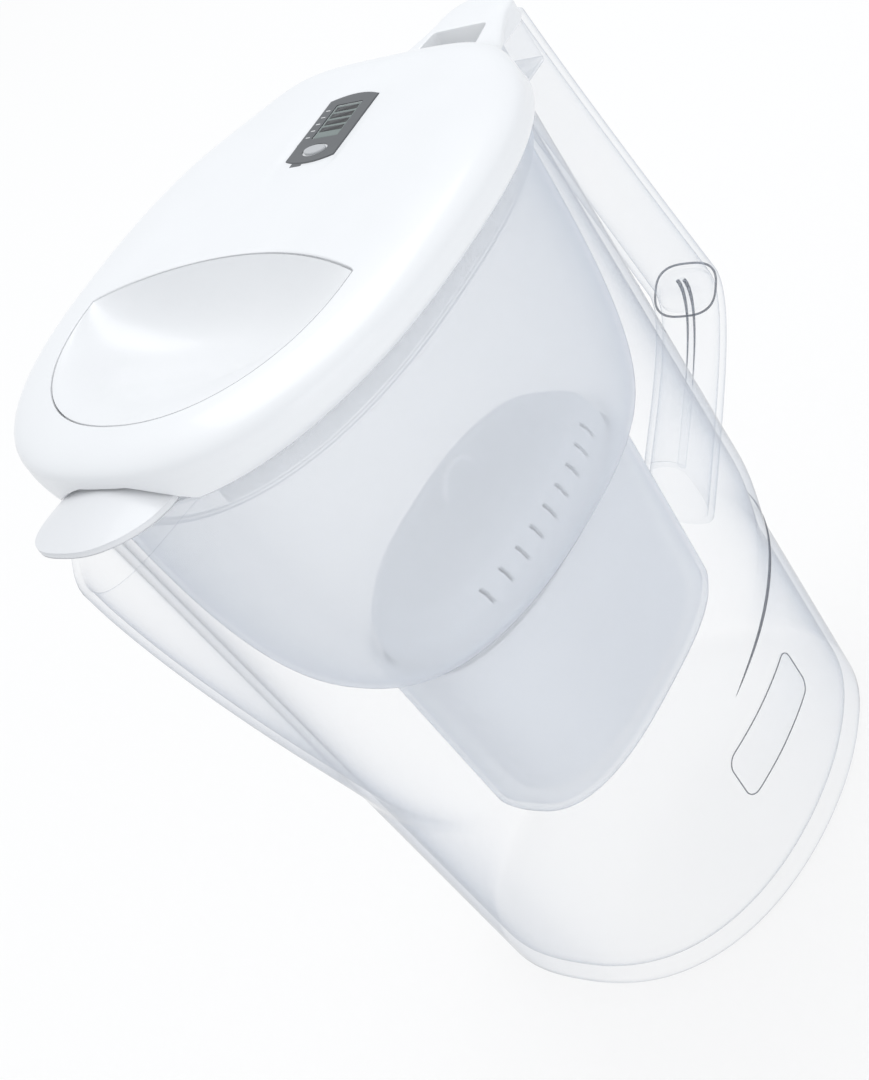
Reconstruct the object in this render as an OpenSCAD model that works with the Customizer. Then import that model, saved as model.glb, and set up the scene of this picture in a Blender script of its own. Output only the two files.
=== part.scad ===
// Water filter pitcher with a flip lid, standing upright.
// The base rests on z = 0, the spout points to -X and the handle to +X.
// Lengths are in millimetres.

/* [Jug] */
// Height of the jug's rim above the base
rim_z = 255; // [245:1:270]
// Reach of the front wall at the base
front_base = 82.7; // [76:0.1:90]
// Reach of the front wall at the rim, without the spout
front_rim = 102; // [98:0.5:106]
// Reach of the back wall at the base
back_base = 76; // [72:0.5:80]
// Reach of the back wall at the rim
back_rim = 88; // [85:0.5:92]
// Half width of the jug at the base
half_base = 66.5; // [62:0.5:70]
// How much further each side stands out at the rim than at the base
side_flare = 1; // [0:0.5:4]
// Wall thickness of the jug
jug_wall = 2.5; // [1.8:0.1:3]
// Thickness of the jug's floor
jug_floor = 4; // [3:0.5:6]
// Squareness of the oval plan, 2 is an ellipse
plan_power = 2.45; // [2.2:0.05:2.8]
// How far the rear shoulder stands out over the lower body
shoulder_step = 5; // [0:0.5:6]
// Height of the shoulder at the back wall
shoulder_z = 92; // [85:1:100]

/* [Spout] */
// Height where the spout starts to leave the front wall
spout_z0 = 98; // [90:1:120]
// How far the spout stands out at its tip
spout_reach = 24; // [18:0.5:28]
// Half width of the spout
spout_half = 29; // [24:0.5:32]
// How far the spout's lip lies below the rim
spout_dip = 8; // [5:0.5:12]

/* [Handle] */
// Half width of the grip
grip_half = 13; // [11:0.5:15]
// Depth of the grip, front to back
grip_depth = 13; // [11:0.5:16]
// Wall thickness of the grip
grip_wall = 2.2; // [1.6:0.1:2.8]
// Place of the grip's middle at the top
grip_x = 121; // [119:0.5:125]
// How far the grip leans outwards over its length
grip_lean = 14; // [8:1:18]
// Height of the grip's lower end
grip_foot_z = 124; // [115:1:135]
// Height where the lower strut meets the jug
strut_z = 74; // [68:1:84]
// Depth of the bridge under the lid's cap
bridge_h = 16; // [12:1:20]

/* [Funnel] */
// Play between the funnel's collar and the jug, each side
collar_gap = 0.6; // [0.4:0.1:1]
// Height of the collar below the rim
collar_h = 10; // [8:0.5:14]
// Wall thickness of the funnel
funnel_wall = 1.8; // [1.2:0.1:2.4]
// Thickness of the lip that rests on the jug's rim
lip_t = 1.2; // [0.8:0.1:2]
// Height of the hopper's foot, where the chamber starts
hopper_z = 142; // [130:1:150]
// Height of the chamber's underside
chamber_z = 60; // [50:1:72]
// Half length of the chamber at its foot
chamber_a = 57; // [50:0.5:60]
// Half width of the chamber at its foot
chamber_b = 30; // [26:0.5:34]
// Radius of the outlet in the chamber's floor
outlet_r = 14; // [10:0.5:18]

/* [Lid] */
// Height of the lid's crest line above its lower edge
crest_h = 8.5; // [6:0.5:10]
// How far the lid's crest stands out over the jug at the sides
crest_flare = 9; // [4:0.5:11]
// Height of the dome above the crest line
dome_h = 11; // [8:0.5:14]
// Wall thickness of the lid
lid_wall = 2.2; // [1.6:0.1:2.6]
// Clear height between the skirt's foot and the funnel's step
skirt_clear = 0.6; // [0.4:0.1:4]
// Play between the lid's skirt and the funnel's collar
skirt_gap = 0.6; // [0.4:0.1:1]
// Depth of the thumb well in the handle cap
well_h = 14; // [10:0.5:15]

/* [Refill flap] */
// Front end of the flap
flap_front = 86; // [84:0.5:88]
// Rear edge of the flap at the middle
flap_rear = 19; // [17:0.5:24]
// Half width of the flap
flap_half = 56; // [50:0.5:57]
// Gap round the flap
flap_gap = 0.5; // [0.3:0.1:0.8]
// Thickness of the flap's panel
flap_t = 2.2; // [1.6:0.1:3]
// Depth of the scoop below the lid's top
scoop_h = 16.5; // [12:0.5:20]
// Radius of the hinge pins
pin_r = 1.5; // [1.2:0.1:2]
// Running clearance of a pin in its bore
pin_clear = 0.05; // [0.02:0.01:0.1]

/* [Spout flap] */
// Angle of the spout flap above its closed place
spout_open = 16; // [0:1:20]
// Length of the spout flap from its hinge to its tip
tongue_l = 31; // [26:0.5:33]
// Half width of the spout flap at its root
tongue_half = 24; // [20:0.5:24.5]
// Thickness of the spout flap
tongue_t = 2; // [1.6:0.1:2.6]

/* [Change indicator] */
// Length of the indicator's face along the lid
memo_l = 33; // [30:0.5:38]
// Width of the indicator's face
memo_w = 21; // [19:0.5:24]
// Place of the indicator's middle behind the origin
memo_x = 39.5; // [38:0.5:44]
// Depth of the indicator's housing
memo_h = 10; // [9:0.5:13]
// Travel of the indicator's button
button_travel = 0.6; // [0.4:0.1:0.8]

/* [Filter cartridge] */
// Half length of the cartridge at its foot
cart_a = 50; // [44:0.5:52]
// Half width of the cartridge at its foot
cart_b = 24.5; // [20:0.5:26]
// Wall thickness of the cartridge
cart_wall = 1.6; // [1.2:0.1:2]
// Height of the domed cap
cap_h = 22; // [18:1:26]
// Height of the pull ring above the cap
ring_h = 10; // [8:0.5:14]

/* [Hidden] */
steps = 64;
fine = 48;

// Signed power, which makes a circle's sine and cosine into an oval's
function spow(v, e) = sign(v) * pow(abs(v), e);
// Smooth step from 0 to 1
function ease(t) = let(c = max(0, min(1, t))) c * c * (3 - 2 * c);
function mix(a, b, t) = a + (b - a) * t;
function reversed(list) = [for (i = [len(list) - 1 : -1 : 0]) list[i]];

// One level oval ring: middle cx, half length a, half width b
function oval(cx, a, b, z, power = plan_power, n = steps) =
    [for (i = [0 : n - 1]) let(t = 360 * i / n)
        [cx + a * spow(cos(t), 2 / power), b * spow(sin(t), 2 / power), z]];

// Skin over a stack of rings; a looped stack closes on itself, others get flat ends
module skin(rings, looped = false) {
    n = len(rings[0]);
    m = len(rings);
    walls = [for (j = [0 : m - (looped ? 1 : 2)]) for (i = [0 : n - 1])
        let(k = (i + 1) % n, up = (j + 1) % m)
        each [[j * n + i, up * n + i, up * n + k], [j * n + i, up * n + k, j * n + k]]];
    ends = looped ? [] : [[for (i = [0 : n - 1]) i], [for (i = [n - 1 : -1 : 0]) (m - 1) * n + i]];
    polyhedron([for (r = rings) each r], concat(walls, ends), convexity = 8);
}

// ---- Plan of the jug at each height ----
function front_x(z) = -mix(front_base, front_rim, z / rim_z);
function back_x(z) = mix(back_base, back_rim - shoulder_step, z / rim_z) + shoulder_step;
function half_y(z) = mix(half_base, half_base + side_flare, z / rim_z);
function mid_x(z) = (front_x(z) + back_x(z)) / 2;
function long_r(z) = (back_x(z) - front_x(z)) / 2;

shoulder_start = -12;
shoulder_drop = 24;
shoulder_soft = 14;
spout_power = 1.3;
// Share of the spout's bulge at a point beside the middle plane
function spout_w(y) = pow(max(0, 1 - pow(y / spout_half, 2)), spout_power);
function spout_out(z) = let(s = max(0, min(1, (z - spout_z0) / (rim_z - spout_dip - spout_z0))))
    spout_reach * (1 - pow(1 - s, 1.5));
// The shoulder fades out along the side, and its crease falls towards the front
function shoulder_in(x, z) = let(along = (x - shoulder_start) / (back_base - shoulder_start),
    crease = shoulder_z - shoulder_drop * (1 - max(0, min(1, along))))
    shoulder_step * ease(along * 1.6) * (1 - ease((z - crease + shoulder_soft) / (2 * shoulder_soft)));

// One point of the jug's wall; f is the share of the height, inset is measured inwards
function jug_point(t, f, inset, floor_z = 0) = let(
    level = mix(floor_z, rim_z, f),
    a = long_r(level) - inset,
    b = half_y(level) - inset,
    x = mid_x(level) + a * spow(cos(t), 2 / plan_power),
    y = b * spow(sin(t), 2 / plan_power),
    in_spout = x < 0 ? spout_w(y * spout_half / (spout_half - inset * 0.5)) : 0,
    z = mix(floor_z, rim_z - spout_dip * in_spout, f),
    k = 1 - shoulder_in(x, level) / long_r(level))
    [mid_x(level) + (x - mid_x(level)) * k - spout_out(level) * in_spout, y * mix(1, k, 0.7), z];
function jug_ring(f, inset, floor_z = 0) =
    [for (i = [0 : steps - 1]) jug_point(360 * i / steps, f, inset, floor_z)];

foot_round = 3;
module jug_body() {
    color("lightsteelblue", 0.4)
    skin(concat(
        [jug_ring(0, foot_round), jug_ring(0.004, 1.2), jug_ring(0.012, 0)],
        [for (f = [0.1, 0.19, 0.25, 0.3, 0.35, 0.4, 0.46, 0.55, 0.67, 0.79, 0.91, 1])
            jug_ring(f, 0)],
        [for (f = [1, 0.9, 0.76, 0.62, 0.5, 0.43, 0.37, 0.31, 0.25, 0.16, 0.05])
            jug_ring(f, jug_wall, jug_floor)],
        [jug_ring(0.012, jug_wall + 2, jug_floor), jug_ring(0, jug_wall + 6, jug_floor)]));
}

// ---- Handle ----
grip_top_z = rim_z - 3;
bridge_z = grip_top_z - bridge_h;
function grip_mid_x(z) = grip_x + grip_lean * pow((grip_top_z - z) / (grip_top_z - grip_foot_z), 1.1);
// Level ring of the grip; it grows slightly deeper towards the foot
function grip_ring(z, inset) = let(s = (grip_top_z - z) / (grip_top_z - grip_foot_z))
    oval(grip_mid_x(z), grip_depth / 2 + 2 * s * s - inset, grip_half + s - inset, z, 2.8, 32);
grip_levels = [0, 0.15, 0.35, 0.6, 0.8, 1];
grip_floor_z = grip_foot_z + 6;
floor_t = 2;
joint = 0.1;

module handle_grip() {
    color("lightsteelblue", 0.4)
    skin(concat(
        [for (s = grip_levels) grip_ring(mix(grip_foot_z, grip_top_z, s), 0)],
        [for (s = reversed(grip_levels)) grip_ring(mix(grip_foot_z, grip_top_z, s), grip_wall)]),
        looped = true);
}

module handle_floor() {
    color("lightsteelblue", 0.4)
    skin([grip_ring(grip_floor_z, grip_wall - joint), grip_ring(grip_floor_z + floor_t, grip_wall - joint)]);
}

// The strut curves from the grip's foot down and in to the jug's back wall, where it stands tall
strut_levels = [0, 0.15, 0.3, 0.45, 0.6, 0.75, 0.9, 1];
strut_end_half = 15;
strut_bury = 1.2;
function wall_back_x(z) = back_x(z) - shoulder_in(back_x(z), z);
function bend(p0, p1, p2, p3, s) = p0 * pow(1 - s, 3) + p1 * 3 * s * pow(1 - s, 2) + p2 * 3 * s * s * (1 - s)
    + p3 * pow(s, 3);
function strut_ring(s, inset) = let(
    start = [grip_mid_x(grip_foot_z), grip_foot_z],
    end = [wall_back_x(strut_z) - strut_bury, strut_z],
    mid = bend(start, start - [0.5, 14], end + [30, 20], end, s),
    turn = 90 * s,
    depth = mix(grip_depth / 2 + 2, strut_end_half, pow(s, 3)) - inset,
    half = mix(grip_half + 1, grip_half - 1, s) - inset)
    [for (i = [0 : 31]) let(t = 360 * i / 32, u = depth * spow(cos(t), 2 / 2.8), z = mid[1] - u * sin(turn))
        [mid[0] + u * cos(turn) + (s == 1 ? wall_back_x(z) - wall_back_x(strut_z) : 0),
         half * spow(sin(t), 2 / 2.8), z]];

module handle_strut() {
    color("lightsteelblue", 0.4)
    skin(concat(
        [for (s = reversed(strut_levels)) strut_ring(s, 0)],
        [for (s = strut_levels) strut_ring(s, grip_wall)]), looped = true);
}

// An open-topped channel between the jug's back wall and the grip
bridge_half = grip_half + 2;
bridge_wall = 1.8;
module handle_bridge() {
    bridge_start = back_x(bridge_z) - jug_wall / 2;
    bridge_end = grip_mid_x(bridge_z) - grip_depth / 2 + grip_wall - joint;
    color("lightsteelblue", 0.4)
    translate([bridge_start, -bridge_half, bridge_z])
    difference() {
        cube([bridge_end - bridge_start, 2 * bridge_half, bridge_h]);
        translate([-1, bridge_wall, floor_t])
            cube([bridge_end - bridge_start + 2, 2 * (bridge_half - bridge_wall), bridge_h]);
    }
}

// ---- Funnel with its cartridge chamber ----
collar_z = rim_z - collar_h;
collar_a = long_r(collar_z) - jug_wall - collar_gap;
collar_b = half_y(collar_z) - jug_wall - collar_gap;
collar_mid = mid_x(collar_z);
hopper_step = 2.5;
step_h = 1;
mouth_add = 5;
lip_z = rim_z + 0.1;
lip_set = 0.5;
// Share of the hopper's width at each share of its height: full at the collar, drawn in at the foot
hopper_levels = [0, 0.03, 0.08, 0.15, 0.25, 0.4, 0.6, 0.8, 1];
function hopper_ring(s, inset) = let(
    z = mix(hopper_z, collar_z, s),
    w = pow(1 - pow(1 - s, 3), 0.42),
    full_a = min(collar_a, long_r(z) - jug_wall - collar_gap) - hopper_step,
    full_b = collar_b - hopper_step)
    oval(mix(0, collar_mid, w), mix(chamber_a + mouth_add, full_a, w) - inset,
        mix(chamber_b + mouth_add, full_b, w) - inset, z);

module funnel_hopper() {
    lip_a = long_r(rim_z) - lip_set;
    lip_b = half_y(rim_z) - lip_set;
    color("aliceblue", 0.7)
    skin(concat(
        [for (s = hopper_levels) hopper_ring(s, 0)],
        [oval(collar_mid, collar_a, collar_b, collar_z + step_h),
         oval(collar_mid, collar_a, collar_b, lip_z),
         oval(mid_x(rim_z), lip_a, lip_b, lip_z),
         oval(mid_x(rim_z), lip_a, lip_b, lip_z + lip_t),
         oval(collar_mid, collar_a - funnel_wall, collar_b - funnel_wall, lip_z + lip_t),
         oval(collar_mid, collar_a - funnel_wall, collar_b - funnel_wall, collar_z + step_h)],
        [for (s = reversed(hopper_levels)) hopper_ring(s, funnel_wall)]), looped = true);
}

chamber_top_a = chamber_a + mouth_add;
chamber_top_b = chamber_b + mouth_add;
chamber_power = 2.8;
function chamber_ring(z, inset) = let(s = (z - chamber_z) / (hopper_z - chamber_z))
    oval(0, mix(chamber_a, chamber_top_a, s) - inset, mix(chamber_b, chamber_top_b, s) - inset, z,
        mix(chamber_power, plan_power, s));

module cartridge_chamber() {
    floor_z = chamber_z + 2;
    color("aliceblue", 0.5)
    difference() {
        skin([chamber_ring(chamber_z, 4), chamber_ring(chamber_z + 1.2, 1.2), chamber_ring(chamber_z + 4, 0),
            chamber_ring(mix(chamber_z, hopper_z, 0.5), 0), chamber_ring(hopper_z, 0),
            chamber_ring(hopper_z, funnel_wall), chamber_ring(mix(chamber_z, hopper_z, 0.5), funnel_wall),
            chamber_ring(chamber_z + 5, funnel_wall), chamber_ring(floor_z, funnel_wall + 4)]);
        translate([0, 0, chamber_z - 1]) cylinder(r = outlet_r, h = 4, $fn = fine);
    }
}

// ---- Filter cartridge ----
cart_play = 3;
cart_power = 2.5;
cart_z = chamber_z + 3;
cart_rim_z = hopper_z - 3;
cart_top_a = chamber_top_a - funnel_wall - cart_play;
cart_top_b = chamber_top_b - funnel_wall - cart_play;
function cart_ring(z, inset) = let(s = (z - cart_z) / (cart_rim_z - cart_z))
    oval(0, mix(cart_a, cart_top_a, s) - inset, mix(cart_b, cart_top_b, s) - inset, z, cart_power, fine);

module cartridge_housing() {
    color("whitesmoke")
    difference() {
        skin([cart_ring(cart_z, 3), cart_ring(cart_z + 2, 0.6), cart_ring(cart_z + 5, 0),
            cart_ring(cart_rim_z, 0), cart_ring(cart_rim_z, cart_wall),
            cart_ring(cart_z + 5, cart_wall), cart_ring(cart_z + 2, cart_wall + 2)]);
        translate([0, 0, cart_z - 1]) cylinder(r = outlet_r - 3, h = 5, $fn = fine);
    }
}

// The seal sits round the rim and closes the gap to the chamber's wall
seal_lip = cart_play - 0.6;
module cartridge_seal() {
    seal_z = cart_rim_z - 6;
    color("lightgray")
    skin([cart_ring(seal_z, 0), cart_ring(seal_z, -1.6), cart_ring(seal_z + 1.5, -seal_lip),
        cart_ring(seal_z + 3, -1.6), cart_ring(seal_z + 3, 0)], looped = true);
}

dome_power = 2.4;
cap_foot_z = cart_rim_z + 0.1;
cap_side_h = 1.9;
cap_levels = [0, 0.35, 0.62, 0.82, 0.94, 0.99];
// The cap's outside, or its hollow where inset is its wall
module cap_form(inset) {
    dome = cap_h - cap_side_h - inset;
    skin(concat(
        [oval(0, cart_top_a - inset, cart_top_b - inset, cap_foot_z - (inset > 0 ? 1 : 0), cart_power, fine)],
        [for (s = cap_levels) let(w = pow(1 - pow(s, dome_power), 1 / dome_power))
            oval(0, (cart_top_a - inset) * w, (cart_top_b - inset) * w, cap_foot_z + cap_side_h + dome * s,
                cart_power, fine)]));
}

module cartridge_cap() {
    slots = 9;
    slot_w = 1.6;
    slot_h = 6;
    slot_pitch = 9;
    color("white")
    difference() {
        cap_form(0);
        cap_form(cart_wall);
        for (i = [0 : slots - 1])
            translate([(i - (slots - 1) / 2) * slot_pitch - slot_w / 2, -cart_top_b, cap_foot_z + 5])
                cube([slot_w, 2 * cart_top_b, slot_h]);
    }
}

module cartridge_inlet_mesh() {
    play = cart_wall + 0.3;
    color("gainsboro")
    translate([0, 0, cart_rim_z - 2])
        linear_extrude(1)
            polygon([for (p = cart_ring(cart_rim_z - 2, play)) [p[0], p[1]]]);
}

module cartridge_outlet_screen() {
    color("gainsboro")
    translate([0, 0, cart_z + 2.1]) cylinder(r = outlet_r - 1, h = 1.2, $fn = fine);
}

module cartridge_media() {
    bed_z = cart_z + 4;
    color("dimgray")
    skin([cart_ring(bed_z, cart_wall + 2.2), cart_ring(bed_z + 3, cart_wall + 0.3),
        cart_ring(cart_rim_z - 3, cart_wall + 0.3)]);
}

// The ring is moulded on: its feet are set into the flat crown of the cap
ring_set = 1.1;
crown_z = cap_foot_z + cap_side_h + (cap_h - cap_side_h) * cap_levels[len(cap_levels) - 1];
module cartridge_pull_ring() {
    tube = 2.4;
    color("white")
    translate([0, 0, crown_z - ring_set])
    intersection() {
        rotate([90, 0, 0]) rotate_extrude($fn = fine)
            translate([ring_h - tube / 2, 0]) circle(d = tube, $fn = 16);
        translate([-20, -20, 0]) cube([40, 40, 20]);
    }
}

// ---- Lid ----
lid_z = lip_z + lip_t + 0.1;
crest_z = lid_z + crest_h;
lid_a = long_r(rim_z) + 1;
lid_b = half_y(rim_z) + 1;
lid_mid = mid_x(rim_z);
crest_a = lid_a - 3;
crest_b = lid_b + crest_flare;
crest_mid = lid_mid - 2;
// Height of the lid's outside at a share r of the way from the middle to the crest
function dome_z(r, inset = 0) = crest_z + (dome_h - inset) * pow(max(0, 1 - pow(r, 4)), 0.31);
// The same share for a point in plan
function lid_share(x, y) = pow(pow(abs(x - crest_mid) / crest_a, plan_power)
    + pow(abs(y) / crest_b, plan_power), 1 / plan_power);
function lid_top(x, y) = dome_z(min(1, lid_share(x, y)));
dome_levels = [1, 0.992, 0.97, 0.93, 0.86, 0.74, 0.55, 0.3, 0.1];

module lid_dome(inset) {
    skin(concat(
        [oval(lid_mid, lid_a - inset, lid_b - inset, lid_z - (inset > 0 ? 1 : 0)),
         oval(mix(lid_mid, crest_mid, 0.5), mix(lid_a, crest_a, 0.4) - inset,
            mix(lid_b, crest_b, 0.75) - inset, mix(lid_z, crest_z, 0.45))],
        [for (r = dome_levels)
            oval(crest_mid, (crest_a - inset) * r, (crest_b - inset) * r, dome_z(r, inset))]));
}

// Plan of the handle cap that reaches from the dome over the bridge to the grip
cap_tail = grip_x + grip_depth / 2;
cap_arc = 12.5;
cap_half = grip_half + 2;
cap_waist_x = 98;
cap_spread = 7.5;
cap_root = cap_half + 22;
cap_root_x = 66;
cap_low_z = grip_top_z + 0.2;
cap_lip_h = 8.2;
cap_top_z = cap_low_z + cap_lip_h;
function cap_ring_plan(z, inset, spread = 1) = concat(
    [for (t = [-90 : 15 : 90])
        [cap_tail - cap_arc + (cap_arc - inset) * cos(t), (cap_half - inset) * sin(t), z]],
    [for (p = [[cap_waist_x, cap_half + cap_spread * spread], [cap_root_x, cap_root],
            [cap_root_x, -cap_root], [cap_waist_x, -cap_half - cap_spread * spread]])
        [p[0], p[1] - sign(p[1]) * inset, z]]);

module handle_cap() {
    difference() {
        skin([cap_ring_plan(cap_low_z, 0, 0.1), cap_ring_plan(cap_top_z - 4, 0),
            cap_ring_plan(cap_top_z - 1.4, 1.4), cap_ring_plan(cap_top_z, 4.5)]);
        skin([cap_ring_plan(cap_low_z - 1, lid_wall, 0.1), cap_ring_plan(cap_top_z - 3, lid_wall, 0.1)]);
        // Room for the jug's rim and the funnel's lip
        translate([0, 0, cap_low_z - 1]) linear_extrude(lid_z + 0.7 - cap_low_z + 1)
            polygon([for (p = oval(lid_mid, lid_a - 0.4, lid_b - 0.4, 0)) [p[0], p[1]]]);
    }
}

// The thumb well is deep behind the jug's rim and slopes up over the rim in front
well_wall = 1.2;
well_rear = cap_tail - 20;
well_front = back_x(rim_z) + 2 + well_wall;
well_half = bridge_half - bridge_wall - well_wall - 0.4;
well_low_z = cap_top_z - well_h;
well_step_z = rim_z + 0.4 + lip_t;
function well_plan(front, half, z, grow) =
    [[front - grow, -half - grow, z], [well_rear + grow, -well_half - grow, z],
     [well_rear + grow, well_half + grow, z], [front - grow, half + grow, z]];
well_reach = 4;
well_spread = 5;
module well(grow, top_z) {
    skin([well_plan(well_front, well_half, well_low_z - grow, grow),
        well_plan(well_front, well_half, well_step_z - grow, grow),
        well_plan(well_front - well_reach, well_half + well_spread, cap_top_z - 1, grow),
        well_plan(well_front - well_reach, well_half + well_spread, top_z, grow)]);
}

// Outline of the refill flap: an oval front and a flatter rear edge with two pointed tips
flap_sweep = 12;
flap_mid_x = -flap_rear - flap_sweep;
front_power = 2.2;
function flap_front_x(y) = flap_mid_x
    - (flap_front + flap_mid_x) * pow(max(0, 1 - pow(abs(y) / flap_half, front_power)), 1 / front_power);
function flap_rear_x(y) = mix(-flap_rear, flap_mid_x, pow(y / flap_half, 2));
front_points = 36;
rear_points = 12;
function flap_outline(grow) = concat(
    [for (i = [0 : front_points]) let(t = 90 + 180 * i / front_points)
        [flap_mid_x + (flap_front + flap_mid_x + grow) * spow(cos(t), 2 / front_power),
         (flap_half + grow) * spow(sin(t), 2 / front_power)]],
    [for (i = [1 : rear_points - 1]) let(y = mix(-flap_half, flap_half, i / rear_points))
        [flap_rear_x(y) + grow * 1.4, y]]);
// Depth of the scoop: it falls gently from the front and climbs steeply to the rear edge
function scoop_depth(x, y) = let(
    front = flap_front_x(y),
    u = max(0, min(1, (x - front) / (flap_rear_x(y) - front + 0.01))))
    scoop_h * 6.75 * u * u * (1 - u) * (1 - pow(min(1, abs(y) / flap_half), 2.5));
function flap_z(x, y) = lid_top(x, y) - 0.3 - scoop_depth(x, y);

hinge_set = 10;
hinge_x = hinge_set - flap_front;
hinge_z = crest_z - 2;
ear_y = 27;
ear_t = 3;
ear_r = 4;
spout_pin_x = front_x(rim_z) + 8;
spout_pin_z = lid_z + 2.7;
spout_ear_y = 20;
spout_ear_r = spout_pin_z - lid_z - 0.2;
notch_half = 30;
notch_h = 9.1;
notch_r = (notch_half * notch_half + notch_h * notch_h) / (2 * notch_h);

module pin_rod(x, z, half, r) {
    translate([x, half, z]) rotate([90, 0, 0]) cylinder(r = r, h = 2 * half, $fn = fine);
}
// A flat plate in the X-Z plane, centred on y
module upright(y, t) {
    translate([0, y + t / 2, 0]) rotate([90, 0, 0]) linear_extrude(t) children();
}

pocket_wall = 1.6;
pocket_low_z = crest_z - 2.2;
pocket_floor_z = pocket_low_z + 1.4;
memo_gap = 0.3;
// Block under the change indicator's face, larger by grow on each side
module memo_block(grow, z, h) {
    translate([memo_x - memo_l / 2 - grow, -memo_w / 2 - grow, z])
        cube([memo_l + 2 * grow, memo_w + 2 * grow, h]);
}
module lid_shell() {
    color("white")
    difference() {
        union() {
            difference() {
                union() {
                    lid_dome(0);
                    handle_cap();
                }
                lid_dome(lid_wall);
                // Arch for the spout flap
                translate([front_x(rim_z) - 12, 0, lid_z + notch_h - notch_r])
                    rotate([0, 90, 0]) cylinder(r = notch_r, h = 24, $fn = 96);
            }
            well(well_wall, cap_top_z - 0.6);
            for (side = [-1, 1]) {
                upright(side * ear_y, ear_t) union() {
                    translate([hinge_x, hinge_z]) circle(r = ear_r, $fn = 32);
                    translate([hinge_x, hinge_z])
                        polygon([[0, -ear_r], [0, ear_r], [-15, 8], [-22, 5], [-22, -1]]);
                }
                upright(side * spout_ear_y, ear_t) union() {
                    translate([spout_pin_x, spout_pin_z]) circle(r = spout_ear_r, $fn = 32);
                    translate([spout_pin_x - 2, spout_pin_z]) square([4, 11]);
                }
            }
            memo_block(pocket_wall + memo_gap, pocket_low_z, dome_h);
        }
        well(0, cap_top_z + 20);
        translate([0, 0, hinge_z + ear_r + 0.5]) linear_extrude(60)
            polygon(flap_outline(flap_gap));
        memo_block(memo_gap, pocket_floor_z, 2 * dome_h);
        pin_rod(hinge_x, hinge_z, ear_y + ear_t, pin_r);
        pin_rod(spout_pin_x, spout_pin_z, spout_ear_y + ear_t, pin_r);
    }
}

// Inner ring of the lid: a ledge pressed into the lid's side and a skirt that enters the funnel
skirt_t = 1.6;
ledge_z = mix(lid_z, crest_z, 0.3);
module lid_skirt() {
    a = collar_a - funnel_wall - skirt_gap;
    b = collar_b - funnel_wall - skirt_gap;
    low = collar_z + step_h + skirt_clear;
    ledge_a = mix(lid_a, crest_a, 0.3) - lid_wall + 0.4;
    ledge_b = mix(lid_b, crest_b, 0.5) - lid_wall + 0.4;
    color("white")
    difference() {
        skin([oval(collar_mid, a, b, low), oval(collar_mid, a, b, ledge_z),
            oval(lid_mid, ledge_a, ledge_b, ledge_z), oval(lid_mid, ledge_a, ledge_b, ledge_z + 1.4),
            oval(collar_mid, a - skirt_t, b - skirt_t, ledge_z + 1.4),
            oval(collar_mid, a - skirt_t, b - skirt_t, low)], looped = true);
        // The skirt is open in front, where the spout flap hinges
        translate([front_x(rim_z) - 5, 2 - notch_half, low - 1]) cube([22, 2 * notch_half - 4, 40]);
    }
}

lug_y = 21;
lug_t = 5;
module refill_flap() {
    levels = [0.04, 0.25, 0.45, 0.65, 0.84, 1];
    centre_x = flap_mid_x - 17;
    outline = flap_outline(0);
    function level(r, drop) = [for (p = outline) let(x = mix(centre_x, p[0], r), y = p[1] * r)
        [x, y, flap_z(x, y) - drop]];
    color("white")
    difference() {
        union() {
            skin(concat([for (r = levels) level(r, flap_t)],
                [for (r = reversed(levels)) level(r, 0)]));
            for (side = [-1, 1]) upright(side * lug_y, lug_t) union() {
                translate([hinge_x, hinge_z]) circle(r = ear_r - 0.5, $fn = 32);
                translate([hinge_x - ear_r + 0.5, hinge_z]) square([2 * ear_r - 1, 7]);
            }
        }
        pin_rod(hinge_x, hinge_z, ear_y - ear_t / 2 - 0.4, pin_r + pin_clear);
    }
}

module refill_flap_pin() {
    color("silver")
    pin_rod(hinge_x, hinge_z, ear_y + ear_t / 2, pin_r);
}

// Torsion spring round the pin, between the flap's lugs
spring_turns = 5;
spring_wire = 0.8;
module refill_flap_spring() {
    sides = 6;
    per_turn = 16;
    r = pin_r + 0.5 + spring_wire / 2;
    pitch = spring_wire + 0.5;
    total = spring_turns * per_turn;
    rings = [for (i = [0 : total])
        let(t = 360 * i / per_turn, y = (i / total - 0.5) * pitch * spring_turns)
        [for (k = [0 : sides - 1]) let(q = 360 * k / sides, w = r + spring_wire / 2 * cos(q))
            [hinge_x + w * cos(t), y + spring_wire / 2 * sin(q), hinge_z + w * sin(t)]]];
    color("silver") skin(rings);
}

// ---- Spout flap ----
tongue_slope = 12;
tongue_crown = 5;
tongue_root = 5;
barrel_r = 2.6;
// The tongue's outline, measured from the pin: a wide root and a rounded tip
function tongue_outline() = concat(
    [for (i = [0 : 24]) let(t = 90 + 180 * i / 24)
        [-tongue_root + (tongue_l - tongue_root) * spow(cos(t), 0.9), tongue_half * spow(sin(t), 0.8)]],
    [for (y = [-12, 0, 12]) [-tongue_root, y]]);
module spout_flap() {
    levels = [0.05, 0.3, 0.55, 0.78, 0.92, 1];
    outline = tongue_outline();
    centre_x = -tongue_root - 9;
    function level(r, drop) = [for (p = outline) let(x = mix(centre_x, p[0], r), y = p[1] * r)
        [x, y, tongue_crown * (1 - pow(y / tongue_half, 2)) * (1 - 0.5 * pow(x / tongue_l, 2)) - drop]];
    color("white")
    translate([spout_pin_x, 0, spout_pin_z])
    rotate([0, spout_open - tongue_slope, 0])
    difference() {
        union() {
            skin(concat([for (r = levels) level(r, tongue_t)],
                [for (r = reversed(levels)) level(r, 0)]));
            pin_rod(0, 0, spout_ear_y - ear_t / 2 - 0.5, barrel_r);
            translate([-tongue_root - 2, -15, -0.8]) cube([tongue_root + 2, 30, 2.2]);
        }
        pin_rod(0, 0, spout_ear_y, pin_r + pin_clear);
    }
}

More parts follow.
